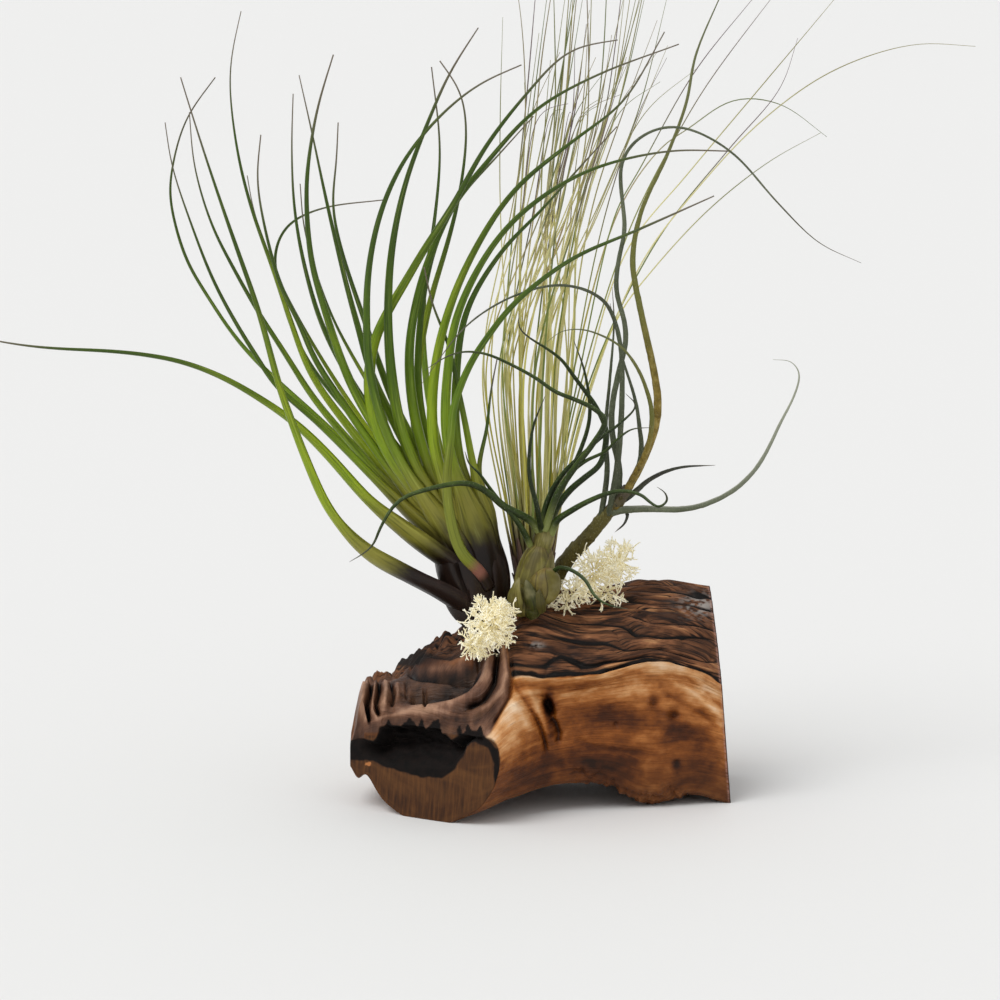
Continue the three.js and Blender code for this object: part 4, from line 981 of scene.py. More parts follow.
def wrap(body, bearing, spread, low, high, lift, pull):
    """A sheath on an egg-shaped body: a patch about a bearing, pointed at its top.

    low and high are shares of the body's height, spread is the half angle at its widest."""
    centre, radii, lean = body
    axis, side, front = lean_frame(lean)
    rows, cols = 46, 25
    h = np.linspace(0, 1, rows)
    level = low + (high - low) * h
    cosine = np.clip(2 * level - 1, -1, 1)
    girth = np.sqrt(np.clip(1 - cosine ** 2, 0.0, 1))
    reach = spread * (1 - h ** 3.2) ** 0.5 * (0.75 + 0.25 * smooth(h / 0.3))
    s = np.linspace(-1, 1, cols)
    angle = bearing + s[None] * reach[:, None]
    rim = 1 - (1 - np.abs(s[None]) ** 4) * (1 - h[:, None] ** 6)
    out = lift * (1 - 0.75 * rim) + pull * h[:, None] ** 3
    ray = np.cos(angle)[..., None] * side * radii[0] + np.sin(angle)[..., None] * front * radii[1]
    skin = centre + cosine[:, None, None] * axis * radii[2] + girth[:, None, None] * ray + unit(ray) * out[..., None]
    under = skin - unit(ray) * (0.55 + 0.9 * (1 - rim))[..., None]
    loop = np.concatenate((skin, under[:, ::-1]), axis=1)
    return loop, h, np.concatenate((s, s[::-1]))


print("a sheath has", wrap(PEAR, 4.3, 1.75, 0.02, 0.93, 0.4, 0.0)[0].shape, "corners")

# %% Sheaths and bracts of the bulb
# Sheaths on each body: bearing (radians, 4.7 faces the front), half angle, low, high, lift, pull.
BULB_WRAPS = [
    (PEAR, 4.3, 1.75, 0.02, 0.93, 0.4, 0.0), (PEAR, 1.2, 1.8, 0.03, 0.97, 0.2, 0.0),
    (PEAR, 2.75, 1.1, 0.02, 0.9, 0.75, 0.0), (PEAR, 5.9, 1.0, 0.2, 1.0, 0.8, 0.3),
    (NECK, 5.4, 1.5, 0.0, 0.9, 0.4, 0.4), (NECK, 3.4, 1.4, 0.0, 0.85, 0.3, 0.3), (NECK, 1.5, 1.4, 0.1, 0.9, 0.3, 0.3),
    (RIGHT_PUP, 4.6, 1.7, 0.0, 0.97, 0.4, 0.6), (RIGHT_PUP, 0.3, 1.6, 0.0, 1.0, 0.2, 0.3),
    (RIGHT_PUP, 6.4, 0.95, 0.0, 0.85, 0.6, 0.3),
    (LEFT_PUP, 4.4, 1.5, 0.0, 0.85, 0.3, 0.0), (LEFT_PUP, 2.7, 1.4, 0.0, 0.8, 0.2, 0.0),
    (SHOOT, 4.7, 1.6, 0.0, 1.0, 0.3, 0.0), (SHOOT, 5.5, 1.1, 0.0, 0.85, 0.6, 0.0),
]
# Bracts: front-view points, depths, width and tint.
BRACTS = [([(25, 97), (24, 103), (22, 109), (20.5, 115)], [-13, -17.5, -18.5, -17], 8.6, 1.0),
          ([(28, 98), (27.5, 102), (27, 106), (27.5, 110)], [-13, -17, -18.5, -18.5], 6.5, 0.9),
          ([(16, 99), (15, 104), (15, 110), (17, 116)], [-14, -16.5, -17, -15.5], 7.0, 0.35)]


def bulb_sheaths():
    growth = Growth()
    for body, shade in ((PEAR, 0.2), (NECK, 0.2), (RIGHT_PUP, 0.5), (LEFT_PUP, 0.3), (SHOOT, 1.0)):
        rings = lobe_rings(*body)
        growth.add(rings, share=np.linspace(0, 1, len(rings)), across=0.0, tint=shade, leaf=9)
    for index, (body, *patch) in enumerate(BULB_WRAPS):
        rings, h, where = wrap(body, *patch)
        kind = 1.0 if body is SHOOT else 0.55 if body is RIGHT_PUP else 0.85 if patch[0] == 5.4 else 0.25
        growth.add(rings, share=h, across=where[None], tint=kind, leaf=index)
    t = np.linspace(0, 1, 30)
    for index, (points, depths, width, kind) in enumerate(BRACTS):
        path = route(points, depths, len(t), 2)
        broad = width * (0.75 + 0.25 * smooth(t / 0.3)) * (1 - t ** 2.2) ** 0.8 + 0.3
        thick, curl = np.minimum(1.5, broad * 0.5), np.full(len(t), 0.9)
        rings, where = strap(path, unit(PEAR[0] - path), broad, thick, curl, across_points=11)
        growth.add(rings, share=t * 0.8, across=where[None], tint=kind, leaf=30 + index)
    return growth.mesh("bulb_sheaths")


bulb_body = bulb_sheaths()

# %% [markdown]
# ## The scurfy plant
# It grows from a woody stem that leans out to the right. Its leaves twist, and scales dull them, so
# they are round sweeps roughened by noise. The stem is roughened more, and the stumps of old leaves
# clasp it like little pointed collars.

# %% Scurfy leaves
SCURFY_LEAVES = [
    ([(60, 147.5), (66, 150), (75, 151), (85, 151), (100, 151), (112, 154), (125, 161), (135, 171), (142, 183),
      (147, 194), (153, 206), (156, 215), (156, 220), (152, 225), (143, 226)], [23, 4, -6, -10, -8], 4.6),
    ([(65, 153), (74, 159), (81, 165), (88, 169), (98, 172), (115, 173)], [16, 20, 26], 4.2),
    ([(58, 146), (61, 170), (60, 190), (62, 215), (64, 245), (63, 262)], [22, 10, 2, 0], 2.8),
    ([(66, 152), (67, 172), (64, 185), (63, 200), (67, 222), (70, 235), (69, 246), (65, 260), (66, 275), (69, 290),
      (67, 312), (67, 322), (72, 332), (82, 339), (92, 341), (103, 339), (122, 328), (145, 303), (165, 284),
      (186, 274)], [17, 0, -12, -16, -22, -26, -26], 3.0),
    ([(68, 155), (76, 170), (78, 182), (77, 192), (75, 205), (68, 228), (62, 254)], [16, 8, -2, -8], 2.8),
    ([(67, 154), (77, 172), (82, 185), (83, 200), (80, 212), (75, 223), (68, 232), (58, 238), (48, 241), (38, 240),
      (31, 235)], [16, -8, -26, -34, -38], 3.2),
    ([(66, 151), (79, 176), (85, 193), (86, 206), (84, 220), (80, 238), (76, 256), (73, 275), (77, 299), (90, 328),
      (99, 353), (103, 375), (114, 402), (124, 424)], [17, 3, -10, -14, -16, -18], 4.4),
    ([(62, 148), (66, 172), (68, 200), (68, 225), (66, 240), (60, 254), (49, 261), (34, 263), (15, 258), (0, 250),
      (-10, 242), (-17, 234), (-25, 223), (-32, 213)], [19, -10, -22, -40, -58, -74, -84], 3.0),
    ([(67, 152), (71, 149), (70, 144), (65, 139)], [17, 15, 13], 2.6),
]
SCURFY_TINTS = [0.7, 0.0, 0.3, 0.4, 0.35, 1.0, 1.0, 0.3, 0.0]  # from dark through silvery (0.7) to golden


def scurfy_leaves():
    growth = Growth()
    snaking(growth, SCURFY_LEAVES, 1.1, 130, tip=0.6, wobble=0.45, tints=SCURFY_TINTS)
    return growth.mesh("scurfy_leaves")


scurfy = scurfy_leaves()

# %% Scurfy stem
SCURFY_STEM = ([(31, 103), (35, 115), (41, 125), (50, 135), (59, 146), (66, 154), (71, 161)], [40, 36, 28, 20, 12])
STUMPS = 26


def scurfy_stem():
    growth = Growth()
    path = route(*SCURFY_STEM, 90, 4)
    run = length_along(path)
    t = run / run[-1]
    radius = (8.4 - 3 * t * t) / 2
    across, up = carry(path, np.array((0.0, 1.0, 0.2)))
    rings = sweep(path, across, up, round_section(radius, 32))
    bumps = layered(rings.reshape(-1, 3) / 3.4, 3).reshape(rings.shape[:2]) - 0.5
    rings = rings + unit(rings - path[:, None]) * (1.6 * bumps)[..., None]
    growth.add(rings, share=t, tint=0.3)
    span = np.linspace(0, 1, 14)[:, None]
    width = 4.6 * (1 - span[:, 0]) ** 0.7 + 0.4
    for k in range(STUMPS):
        at = 8 + 3 * k
        turn = k * GOLDEN_TURN
        way = across[at] * math.cos(turn) + up[at] * math.sin(turn)
        tangent = unit(path[at + 1] - path[at - 1])
        tall = 5.5 + 4 * dice.random()
        stump = path[at] + way * (radius[at] * 0.85 + 0.6 * span ** 2) + tangent * tall * span
        rings, _ = strap(stump, -way, width, np.minimum(0.8, width * 0.5), np.full(len(span), 0.9))
        growth.add(rings, share=span[:, 0] * 0.5, tint=dice.uniform(0.0, 0.45))
    return growth.mesh("scurfy_stem")


stem = scurfy_stem()

# %% [markdown]
# ## Reindeer moss
# Reindeer moss is a lichen: pale, hollow twigs that fork again and again, until their tips make a
# crisp ball. It is grown the same way, from the heart of the tuft outwards, each twig splitting
# until it nears the tuft's outline. Every twig is a thin tube, so light gets in between them.

# %% Growing moss
TWIG_LENGTH = 4.0
MOST_FORKS = 9


def twig(growth, draw, start, way, length, thick, tint, deep):
    """One crooked tube from start. Returns its end and the direction there."""
    s = np.linspace(0, 1, 4)[:, None]
    bend_way = unit(np.cross(way, draw.normal(size=3)))
    path = start + way * length * s + bend_way * length * 0.12 * np.sin(np.pi * s)
    across, up = carry(path, bend_way)
    width = thick * (1 - 0.2 * s[:, 0])
    width[1:-1] *= draw.uniform(0.8, 1.15, 2)
    growth.add(sweep(path, across, up, round_section(width / 2, 5)), share=deep, tint=tint)
    return path[-1], unit(path[-1] - path[-2])


def grow_clump(growth, draw, centre, radii, lean, stems):
    """Twigs that fork from the centre of an egg-shaped room until they near its outline."""
    axis, side, front = lean_frame(lean)
    turn = np.stack((side, front, axis))

    def out(point):
        return float(np.linalg.norm((turn @ (point - centre)) / radii))

    buds = []
    for k in range(stems):
        lift = 1 - 2 * (k + 0.5) / stems
        angle = k * GOLDEN_TURN
        flat = math.sqrt(1 - lift ** 2)
        way = unit((np.array((flat * math.cos(angle), flat * math.sin(angle), lift)) * radii) @ turn)
        buds.append((centre + way * 2.0, way, 0, draw.uniform(0.72, 1.12)))
    while buds:
        start, way, forks, limit = buds.pop()
        if out(start) > limit or forks > MOST_FORKS:
            continue
        near_rim = out(start) > 0.6 * limit
        length = TWIG_LENGTH * draw.uniform(0.65, 1.2) * (0.6 if near_rim else 1.0)
        thick = 0.68 if near_rim else max(1.1 - 0.1 * forks, 0.8)
        end, way = twig(growth, draw, start, way, length, thick, draw.random(), min(out(start), 1.0))
        for _ in range(3 if draw.random() < (0.35 if near_rim else 0.2) else 2):
            veer = unit(way + draw.normal(size=3) * 0.6)
            outward = unit(end - centre)
            buds.append((end, unit(veer + outward * 0.3), forks + 1, limit * draw.uniform(0.93, 1.07)))


def moss(name, clumps, seed):
    """A tuft of forking twigs that fills a few egg-shaped rooms."""
    growth, draw = Growth(), np.random.default_rng(seed)
    for centre, radii, lean, stems in clumps:
        grow_clump(growth, draw, centre, np.array(radii), lean, stems)
    return growth.mesh(name)


sample = Growth()
grow_clump(sample, np.random.default_rng(1), np.zeros(3), np.full(3, 6.0), (0, 0, 1), 6)
print("a ball of 12 mm has", len(sample.corners) // 2, "twigs")

# %% Moss tufts
# Each room: centre, radii, lean and how many stems start in it.
FRONT_CLUMPS = [
    (seen(3, 92, -24), (11.0, 10.0, 11.5), (0.3, -0.2, 1), 36),
    (seen(-6.5, 81.5, -26), (7.0, 7.5, 7.0), (0.1, -0.2, 1), 23),
    (seen(9, 86, -24), (5.5, 6.0, 6.5), (1.0, -0.2, 0.2), 12),
    (seen(-1, 83, -13), (8.0, 9.0, 9.0), (0.2, 0, 1), 14),
]
BACK_CLUMPS = [
    (seen(67, 124, 17), (9.5, 10.5, 10.5), (0.4, 0, 1), 20),
    (seen(55, 119, 15), (10.0, 10.5, 11.5), (0.6, 0, 0.8), 18),
    (seen(43, 108, 12), (7.5, 9.0, 12.0), (0.8, 0, 0.6), 15),
    (seen(60, 108, 16), (8.0, 9.5, 10.0), (1.0, 0, 0.2), 14),
    (seen(41, 103, 6), (6.0, 6.5, 5.5), (1.0, 0, 0.1), 14),
]
front_tuft = moss("moss_front_tuft", FRONT_CLUMPS, 7)
back_tuft = moss("moss_back_tuft", BACK_CLUMPS, 19)

# %% [markdown]
# ## Finishes from one small kit
# All the finishes are worked out by the renderer, with no pictures. Each one is a few noises and
# colour ramps, steered by the notes that the meshes carry: how far a point is from its leaf's root,
# which leaf it is on, where the bark ends. The nodes could be wired one by one, but a small kit in
# which signals add and multiply like numbers keeps each finish to a dozen lines.

# %% Shader kit


def colour(text):
    """A hex colour as linear light."""
    parts = [int(text[k:k + 2], 16) / 255 for k in (1, 3, 5)]
    return [c / 12.92 if c <= 0.04045 else ((c + 0.055) / 1.055) ** 2.4 for c in parts] + [1.0]


class Signal:
    """One output of a node, which adds, subtracts and multiplies like a number."""

    def __init__(self, finish, socket):
        self.finish, self.socket = finish, socket

    def __add__(self, other):
        return self.finish.math("ADD", self, other)

    def __sub__(self, other):
        return self.finish.math("SUBTRACT", self, other)

    def __rsub__(self, other):
        return self.finish.math("SUBTRACT", other, self)

    def __mul__(self, other):
        return self.finish.math("MULTIPLY", self, other)

    def __truediv__(self, other):
        return self.finish.math("DIVIDE", self, other)

    def __abs__(self):
        return self.finish.math("ABSOLUTE", self)


class Finish:
    """A material, with short calls for the nodes that it needs."""

    def __init__(self, name, **sockets):
        self.material = bpy.data.materials.new(name)
        self.material.use_nodes = True
        self.nodes, self.links = self.material.node_tree.nodes, self.material.node_tree.links
        self.shader = self.nodes["Principled BSDF"]
        for socket, value in sockets.items():
            self.put(self.shader.inputs[socket.replace("_", " ")], value)
        self.shader.inputs["Subsurface Radius"].default_value = (1.0, 1.0, 1.0)

    def put(self, socket, value):
        """Links a signal to a socket, or sets a number or a hex colour on it."""
        if isinstance(value, Signal):
            self.links.new(value.socket, socket)
        else:
            socket.default_value = colour(value) if isinstance(value, str) else value

    def add(self, kind, output, inputs, **settings):
        """A new node with its settings and inputs. Gives one of its outputs."""
        node = self.nodes.new("ShaderNode" + kind)
        for name, value in settings.items():
            setattr(node, name, value)
        for name, value in inputs.items():
            self.put(node.inputs[name], value)
        return Signal(self, node.outputs[output])

    def note(self, name):
        return self.add("Attribute", "Fac", {}, attribute_name=name)

    def math(self, operation, a, b=0.0):
        return self.add("Math", 0, {0: a, 1: b}, operation=operation)

    def ramp(self, value, *stops):
        """Stops are (place, hex colour) or (place, number)."""
        node = self.nodes.new("ShaderNodeValToRGB")
        bar = node.color_ramp.elements
        while len(bar) < len(stops):
            bar.new(0.5)
        for element, (place, shade) in zip(bar, stops):
            element.position = place
            element.color = colour(shade) if isinstance(shade, str) else (shade, shade, shade, 1)
        self.put(node.inputs[0], value)
        return Signal(self, node.outputs[0])

    def between(self, value, low, high):
        """0 below low, 1 above high, and smooth in between."""
        inputs = {"Value": value, "From Min": low, "From Max": high}
        return self.add("MapRange", "Result", inputs, interpolation_type="SMOOTHSTEP")

    def mix(self, amount, a, b):
        return self.add("Mix", 2, {0: amount, 6: a, 7: b}, data_type="RGBA")

    def vector(self, x, y, z):
        return self.add("CombineXYZ", 0, {0: x, 1: y, 2: z})

    def place(self, x, y, z):
        """Object coordinates in millimetres, divided by a grain size in each direction."""
        scale = (1 / MM / x, 1 / MM / y, 1 / MM / z)
        return self.add("Mapping", 0, {"Vector": self.add("TexCoord", "Object", {}), "Scale": scale})

    def strand(self, along, across):
        """Coordinates that run with the leaf, from its notes, divided by a grain size each way."""
        return self.vector(self.note("run") / along, self.note("across") * across, self.note("leaf") * 7.31)

    def noise(self, where, detail, twirl=0.0):
        inputs = {"Vector": where, "Scale": 1.0, "Detail": detail, "Roughness": 0.55, "Distortion": twirl}
        return self.add("TexNoise", "Fac", inputs)

    def spots(self, where):
        return self.add("TexVoronoi", "Distance", {"Vector": where, "Scale": 1.0})

    def bump(self, height, depth, under=None):
        """A relief whose full height is depth millimetres, over another relief if there is one."""
        inputs = {"Height": height, "Distance": depth * MM}
        if under is not None:
            inputs["Normal"] = under
        return self.add("Bump", 0, inputs)

    def done(self, shade, rough, normal=None):
        """Joins the colour, the roughness and the relief to the shader. Gives the material."""
        self.put(self.shader.inputs["Base Color"], shade)
        self.put(self.shader.inputs["Roughness"], rough)
        if normal is not None:
            self.put(self.shader.inputs["Normal"], normal)
        return self.material


print("linear light of a mid grey:", round(colour("#808080")[0], 3))

# %% [markdown]
# ## Leaf finishes
# Living leaves are a little translucent, with fine ribs along them. Colour follows the leaf: purple
# and brown sheaths, fresh green above them, and dry grey tips. The ribs are a noise stretched along
# the leaf and squeezed across it, used both for the colour and for a shallow relief.

# %% Rosette leaves and rush blades


def rosette_finish():
    f = Finish("rosette green", Specular_IOR_Level=0.28, Subsurface_Weight=0.1, Subsurface_Scale=0.002)
    run, share, tint, blush = f.note("run"), f.note("share"), f.note("tint"), f.note("blush")
    ribs = f.noise(f.strand(30, 6), 3)
    blotch = f.noise(f.strand(22, 1.2), 3)
    green = f.ramp(tint * 0.6 + blotch * 0.5,
                   (0.1, "#2c4503"), (0.35, "#466306"), (0.6, "#68860c"), (0.9, "#a6b722"))
    lime = f.mix(f.between(run, 150, 95) * (0.36 - blush * 0.3), green, "#9fb52a")
    deep = f.mix(f.between(share, 0.35, 0.75), lime, "#3b5212")
    pale = f.mix(f.between(run, 105, 66), deep, f.mix(blush, "#8a8634", "#7b8229"))
    pale = f.mix(f.between(ribs, 0.48, 0.75) * 0.65, pale, "#1f2d06")
    pale = f.mix(f.between(ribs, 0.42, 0.22) * 0.3, pale, "#d5dd7a")
    purple = f.ramp(blotch, (0.3, "#170d08"), (0.6, "#281a14"), (0.8, "#463633"))
    shade = f.mix(f.between(run + blotch * 26, 76, 50) * (1.0 - blush), pale, purple)
    shade = f.mix(f.between(run, 22, 13) * blush, shade, "#8a5a4c")
    shade = f.mix(f.between(run, 12, 6) * blush, shade, purple)
    shade = f.mix(f.between(share + blotch * 0.12, 0.86, 1.04), shade, "#6a6050")
    rough = f.ramp(blotch, (0.3, 0.34), (0.8, 0.52))
    return f.done(shade, rough, f.bump(ribs, 0.16))


def rush_finish():
    f = Finish("rush straw", Specular_IOR_Level=0.3, Subsurface_Weight=0.1, Subsurface_Scale=0.001)
    run, share, tint = f.note("run"), f.note("share"), f.note("tint")
    streak = f.noise(f.strand(26, 1.0), 3)
    straw = f.ramp(tint * 0.8 + streak * 0.35,
                   (0.12, "#5f6b35"), (0.3, "#84924a"), (0.46, "#b4b068"), (0.62, "#d4cd8e"), (0.8, "#eee7b2"),
                   (1.0, "#a08a70"))
    lime = f.between(run, 200, 90) * f.between(tint, 0.62, 0.85)
    straw = f.mix(lime * 0.8, straw, "#c4bd36")
    tips = f.ramp(tint, (0.2, "#6b5a5c"), (0.6, "#8c8450"), (0.9, "#6c7648"))
    shade = f.mix(f.between(share, 0.5, 0.85), straw, tips)
    shade = f.mix(f.between(run + streak * 30, 58, 26), shade, "#4a322a")
    return f.done(shade, 0.5, f.bump(f.noise(f.place(0.5, 0.5, 12), 2), 0.1))


def papery_finish(name, dark, mid, pale):
    f = Finish(name)
    ribs = f.noise(f.strand(24, 5), 3)
    return f.done(f.ramp(ribs, (0.25, dark), (0.5, mid), (0.75, pale)), 0.6, f.bump(ribs, 0.25))


# %% [markdown]
# ## Bulb, scales and moss
# The bulb's sheaths are olive and striped lengthways, with painted shade along each seam, which is what
# makes them read as wrapped. The scurfy leaves wear a coat of pale scales: a cell pattern gives the scales,
# the silver grows towards a leaf's tip and is painted lighter on its upper side as a highlight, with painted
# shade in the groove along its top. Moss is nearly white, light passes through it, and a faint painted glow
# brightens it further.

# %% Bulb, scurfy leaves and moss


def bulb_leaf_finish():
    f = Finish("bulb leaf green", Specular_IOR_Level=0.25, Subsurface_Weight=0.08, Subsurface_Scale=0.0015)
    share, tint, upper = f.note("share"), f.note("tint"), f.note("upper")
    cloud = f.noise(f.place(7, 7, 7), 4)
    fine = f.noise(f.place(0.7, 0.7, 0.7), 2)
    shade = f.ramp(tint * 0.3 + cloud * 0.7, (0.2, "#161f07"), (0.5, "#2b3c0f"), (0.8, "#4b5d22"))
    # painted shade on each leaf's underside, and a painted highlight along its upper side
    shade = f.mix(f.between(upper, 0.0, -0.9) * 0.6, shade, "#111905")
    shade = f.mix(f.between(upper, 0.35, 1.0) * 0.3, shade, "#8c9c6e")
    shade = f.mix(f.between(share, 0.12, 0.0), shade, "#828a4c")
    shade = f.mix(f.between(share, 0.8, 1.0), shade, "#4c4a3a")
    shade = f.mix(f.between(fine, 0.6, 0.75) * 0.3, shade, "#b9c4a8")
    return f.done(shade, 0.42, f.bump(fine, 0.08))


def bulb_finish():
    f = Finish("bulb sheath", Specular_IOR_Level=0.28, Subsurface_Weight=0.15, Subsurface_Scale=0.003)
    share, across, tint = f.note("share"), f.note("across"), f.note("tint")
    stripes = f.noise(f.vector(across * 9.0, share * 1.6, f.note("leaf") * 3.7), 3)
    cloud = f.noise(f.place(9, 9, 9), 3)
    olive = f.ramp(stripes, (0.3, "#55501c"), (0.5, "#6b642a"), (0.7, "#8a8142"))
    olive = f.mix(f.between(tint, 0.45, 0.6) * 0.5, olive, "#86703a")
    shade = f.mix(f.between(tint, 0.7, 1.0), olive, f.ramp(stripes, (0.3, "#1f2203"), (0.7, "#3f430d")))
    shade = f.mix(f.between(cloud, 0.45, 0.75) * 0.5, shade, "#989068")
    # painted shade along each sheath's edge, in the crease where it wraps over the next
    shade = f.mix(f.between(abs(across), 0.8, 0.99) * 0.6, shade, "#3c3014")
    shade = f.mix(f.between(share, 0.85, 1.0) * 0.4, shade, "#7a5a3e")
    shade = f.mix(f.between(cloud, 0.5, 0.3) * 0.6, shade, "#4c4229")
    return f.done(shade, 0.46, f.bump(stripes, 0.12))


def scurfy_finish(name, base, mid, pale, ochre):
    """Tint runs from dark through silvery (0.7) to golden (1)."""
    f = Finish(name, Specular_IOR_Level=0.3)
    share, tint, upper = f.note("share"), f.note("tint"), f.note("upper")
    cloud = f.noise(f.place(10, 10, 14), 4)
    scales = f.spots(f.place(0.85, 0.85, 1.5))
    level = f.math("MINIMUM", tint, 0.5) * 0.7 + cloud * 0.5
    shade = f.ramp(level, (0.2, base), (0.5, mid), (0.8, pale))
    silver = f.between(tint, 0.5, 0.7) * f.between(tint, 0.9, 0.7) * f.between(share, 0.02, 0.14)
    # painted shade in the groove along the top of the silvery leaves
    groove = f.between(abs(upper - 0.15), 0.4, 0.1)
    shade = f.mix(groove * silver * 0.55, shade, "#3a4030")
    # the silver grows towards the tip, and is painted lighter on the upper side as a highlight
    tip_silver_and_top_highlight = f.between(share, 0.3, 0.9) * 0.6 + f.between(upper, -0.3, 0.9) * 0.5
    shade = f.mix(silver * tip_silver_and_top_highlight, shade, "#b4b6a6")
    golden = f.ramp(f.noise(f.place(3, 3, 5), 3), (0.3, "#5c4c1e"), (0.5, ochre), (0.7, "#a5914f"))
    golden = f.mix(f.between(share, 0.22, 0.42), golden, "#6d6e35")
    shade = f.mix(f.between(tint, 0.8, 1.0) * f.between(share, 1.1, 0.5), shade, golden)
    shade = f.mix(f.between(scales, 0.34, 0.12) * 0.4 * 0.35, shade, "#d9d6bc")
    shade = f.mix(f.between(share, 0.75, 1.0) * f.between(tint, 0.7, 0.5), shade, "#5c5344")
    return f.done(shade, 0.7, f.bump(scales, 0.3))


def moss_finish(name, painted_glow):
    # the emission is a faint painted glow that brightens the twigs
    f = Finish(name, Specular_IOR_Level=0.2, Subsurface_Weight=0.3, Subsurface_Scale=0.001,
               Emission_Color="#fff3cf", Emission_Strength=painted_glow)
    level = f.note("tint") * 0.35 + f.noise(f.place(6, 6, 6), 3) * 0.6
    shade = f.ramp(level, (0.15, "#efe2ac"), (0.4, "#fbf2cf"), (0.8, "#fffdf0"))
    shade = f.mix(f.between(f.note("share"), 0.5, 0.1), shade, "#d9cb90")
    return f.done(shade, 0.9, f.bump(f.noise(f.place(0.45, 0.45, 0.45), 3), 0.3))


# %% [markdown]
# ## Wood finish
# The bare wood was oiled: warm, with darker grain that runs along the piece, and it darkens towards the
# bottom as painted shade. The bark is red-brown on its crests and painted nearly black with shade in its
# furrows, the weathered end is grey-brown, the sawn ends show darker grain, and the pocket is black with
# decay and with painted shade of the hollow. Light and dark fields and the drawn marks add painted
# highlights and painted shade to the bare wood and the weathered end, and painted shade to the bark. The
# notes from the carving say which is where.

# %% Driftwood finish


def grey(value):
    return (value, value, value, 1)


def wood_finish():
    f = Finish("driftwood", Specular_IOR_Level=0.2)
    coords = {0: f.add("TexCoord", "Object", {})}
    along, height = f.add("SeparateXYZ", "X", coords) / MM, f.add("SeparateXYZ", "Z", coords)

    def flow(long, wide, slot, detail=3):
        """A noise that runs with the wood, long by wide millimetres."""
        return f.noise(f.vector(along / long, f.note("girth") / wide, slot), detail, twirl=0.6)

    cloud, streaks, grain, fibres = flow(26, 18, 1.0), flow(34, 3.6, 5.0), flow(30, 0.9, 9.0), flow(18, 0.9, 17.0)
    # the fields mix the wood's own tone with painted highlights and painted shade
    mark_shade_and_highlight, field_tone_and_painted_light, deep = f.note("mark_shade_and_highlight"), f.note("shade"), f.note("deep")
    mottle = f.noise(f.place(7, 7, 5), 3) - 0.5
    # the marks bring painted shade and painted highlight into the tone of the bare wood, here and in the weathered end
    # below
    level = field_tone_and_painted_light * 0.4 + streaks * 0.3 + cloud * 0.5 + grain * 0.12 + mottle * 0.35 - mark_shade_and_highlight * 0.38
    tan = f.ramp(level, (0.08, "#1e0c04"), (0.25, "#51270a"), (0.4, "#84491a"), (0.54, "#b27038"), (0.68, "#d69f6a"),
                 (0.9, "#f2d3b0"))
    # painted shade: the bare wood darkens towards the bottom
    tan = f.mix(f.between(height, 0.040, 0.002) * 0.6, tan, "#3a1f0b")

    crest = f.ramp(flow(22, 5, 13.0, 4), (0.3, "#2e1a11"), (0.46, "#5c3a25"), (0.58, "#87583a"), (0.7, "#b98559"))
    # painted shade in the fine grooves between the fibres
    crest = f.mix(f.between(fibres, 0.55, 0.35), crest, "#1f130e")
    # painted shade: where the fields are dark, over the bark's underside, the bark darkens too
    crest = f.mix(f.between(field_tone_and_painted_light, -0.15, -0.8), crest, "#1d120d")
    crest = f.mix(f.note("ashen"), crest, "#a39c96")
    # painted shade: the furrows nearly black
    bark = f.mix(f.between(deep, 0.2, 0.8), crest, "#0c0806")

    level = field_tone_and_painted_light * 0.35 + f.noise(f.place(5, 7, 30), 4) * 0.8 - mark_shade_and_highlight * 0.75
    weathered = f.ramp(level, (0.0, "#0b0605"), (0.2, "#2a1a14"), (0.4, "#4d3326"), (0.6, "#73503d"), (0.85, "#ae866c"))
    weathered = f.mix(f.between(cloud, 0.45, 0.7) * 0.5, weathered, "#6b4a34")

    sawn = f.ramp(f.noise(f.place(1.4, 1.4, 30), 4), (0.25, "#261407"), (0.5, "#43260f"), (0.75, "#5c391a"))
    sawn = f.mix(f.between(cloud, 0.4, 0.7) * 0.4, sawn, "#6e4722")
    chip = field_tone_and_painted_light + f.noise(f.place(1.6, 1.6, 1.6), 3) * 1.4
    sawn = f.mix(f.between(chip, 1.7, 2.1), sawn, "#a96c3c")
    # the pocket: the dark colour of decayed wood, and painted shade of the hollow
    rot_and_hollow_shade = f.ramp(f.noise(f.place(4, 4, 4), 4), (0.3, "#040201"), (0.7, "#130a07"))

    # painted shade in the groove along the bark's edge, where it meets the bare wood
    shade = f.mix(f.note("bark"), f.mix(f.between(deep, 0.3, 0.9), tan, "#22130b"), bark)
    shade = f.mix(f.note("band"), shade, weathered)
    shade = f.mix(f.note("worn") * f.between(fibres, 0.35, 0.6) * 0.7, shade, "#b88d80")
    shade = f.mix(f.note("sawn_left"), shade, sawn)
    shade = f.mix(f.note("sawn_right"), shade, sawn)
    shade = f.mix(f.note("rot_and_hollow_shade"), shade, rot_and_hollow_shade)
    rough = f.mix(f.note("bark"), grey(0.42), grey(0.66))
    rough = f.mix(f.note("rot_and_hollow_shade"), rough, grey(0.85))
    uncut = 1.0 - f.math("MAXIMUM", f.note("sawn_left"), f.note("sawn_right"))
    return f.done(shade, rough, f.bump(fibres * uncut, 0.6, f.bump(streaks * uncut, 0.7)))


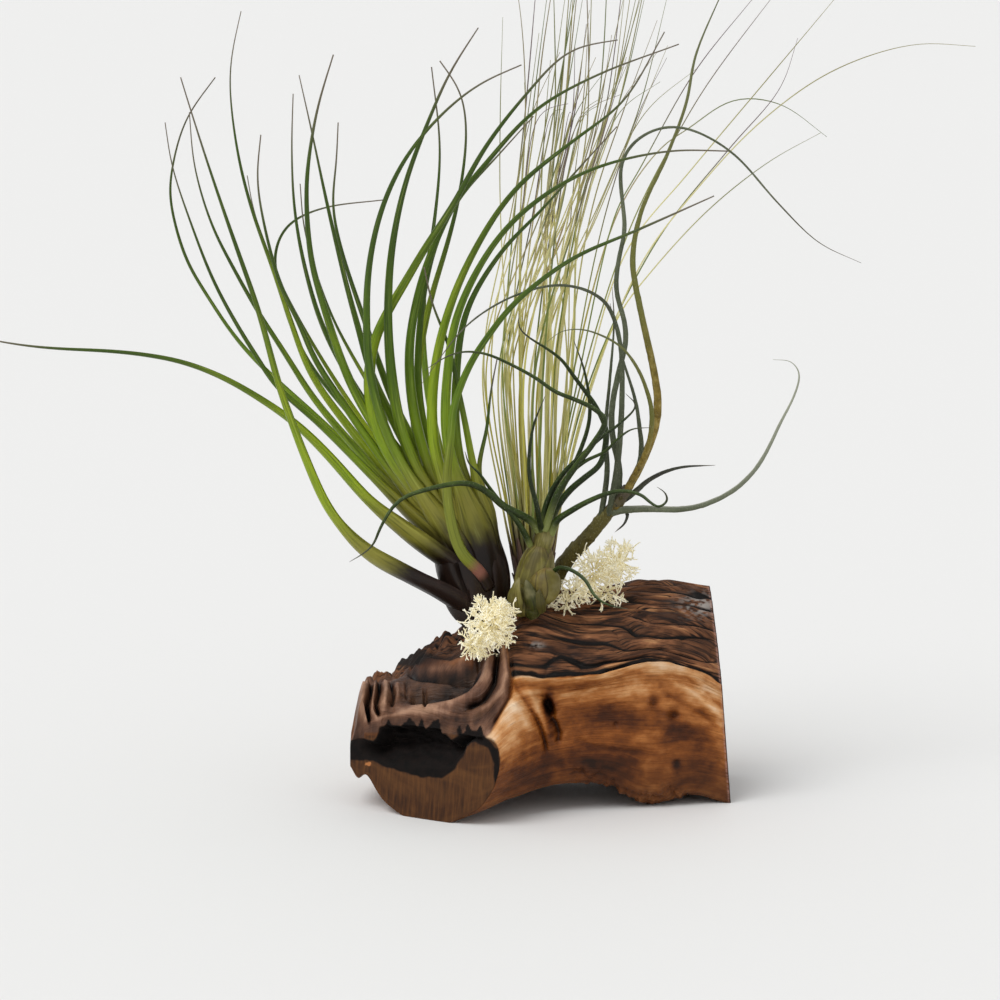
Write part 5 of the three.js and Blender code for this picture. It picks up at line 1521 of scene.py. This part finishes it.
# %% Dress every piece
PIECES = [
    (driftwood, "driftwood", "driftwood", wood_finish()),
    (rosette, "rosette_plant", "rosette_leaf", rosette_finish()),
    (core, "rosette_plant", "rosette_leaf", papery_finish("rosette heart", "#120a07", "#22150f", "#35261f")),
    (rush, "rush_plant", "rush_blade", rush_finish()),
    (rush_foot, "rush_plant", "rush_blade", papery_finish("rush papery", "#2c1c1a", "#5a4036", "#8a7058")),
    (bulb, "bulb_plant", "bulb_leaf", bulb_leaf_finish()),
    (bulb_body, "bulb_plant", "bulb_leaf", bulb_finish()),
    (scurfy, "scurfy_plant", "scurfy_leaf", scurfy_finish("scurfy leaf", "#33322c", "#545b45", "#80866e", "#84702e")),
    (stem, "scurfy_plant", "scurfy_leaf", scurfy_finish("scurfy stem", "#383218", "#645d2f", "#8f8a55", "#6b5a2a")),
    (front_tuft, "moss_front", "moss", moss_finish("moss cream", 0.12)),
    (back_tuft, "moss_back", "moss", moss_finish("moss back", 0.09)),
]
for piece, node, slot, material in PIECES:
    piece.data.materials.append(material)
    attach(piece, "root")
    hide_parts(node)
print("dressed, with nodes in each finish:", {piece.name: len(look.node_tree.nodes) for piece, *_, look in PIECES})

# %% [markdown]
# ## Floor, light and camera
# The arrangement stands on a plain pale floor, large enough to fill the view from any side. The
# light is that of a room by a window: a bright even sky and one broad lamp from the upper left. The
# camera stands where the photographer stood, a little above the plants, with a long lens.

# %% Floor and light


def floor_plane():
    reach = 2000.0
    mesh = bpy.data.meshes.new("floor")
    mesh.from_pydata([(-reach, -reach, 0), (reach, -reach, 0), (reach, reach, 0), (-reach, reach, 0)], [],
                     [(0, 1, 2, 3)])
    floor = bpy.data.objects.new("floor", mesh)
    bpy.context.scene.collection.objects.link(floor)
    mesh.materials.append(Finish("floor").done("#e6e6e5", 0.8))


floor_plane()
sun = bpy.data.lights.new("window", "SUN")
sun.energy, sun.angle = 1.5, math.radians(35)
window = bpy.data.objects.new("window", sun)
window.rotation_euler = Vector((0.55, 0.5, -1.0)).to_track_quat("-Z", "Y").to_euler()
bpy.context.scene.collection.objects.link(window)
world = bpy.data.worlds.new("room light")
world.use_nodes = True
sky = world.node_tree.nodes["Background"].inputs
sky["Color"].default_value = (1.0, 1.0, 1.0, 1)
sky["Strength"].default_value = 0.72
bpy.context.scene.world = world
bpy.context.scene.view_settings.view_transform = "Standard"
print("lamp", sun.energy, "sky", round(sky["Strength"].default_value, 2))

# %% Camera
LOOKING_DOWN = 9.0  # degrees
view = bpy.data.cameras.new("camera")
view.lens, view.sensor_width = 115.2, 36.0  # a long lens, in millimetres
camera = bpy.data.objects.new("camera", view)
camera.location = (EYE + CENTRE_SHIFT) * MM
camera.rotation_euler = (math.radians(90 - LOOKING_DOWN), 0, 0)
bpy.context.scene.collection.objects.link(camera)
bpy.context.scene.camera = camera
print("camera at", [round(v, 3) for v in camera.location])
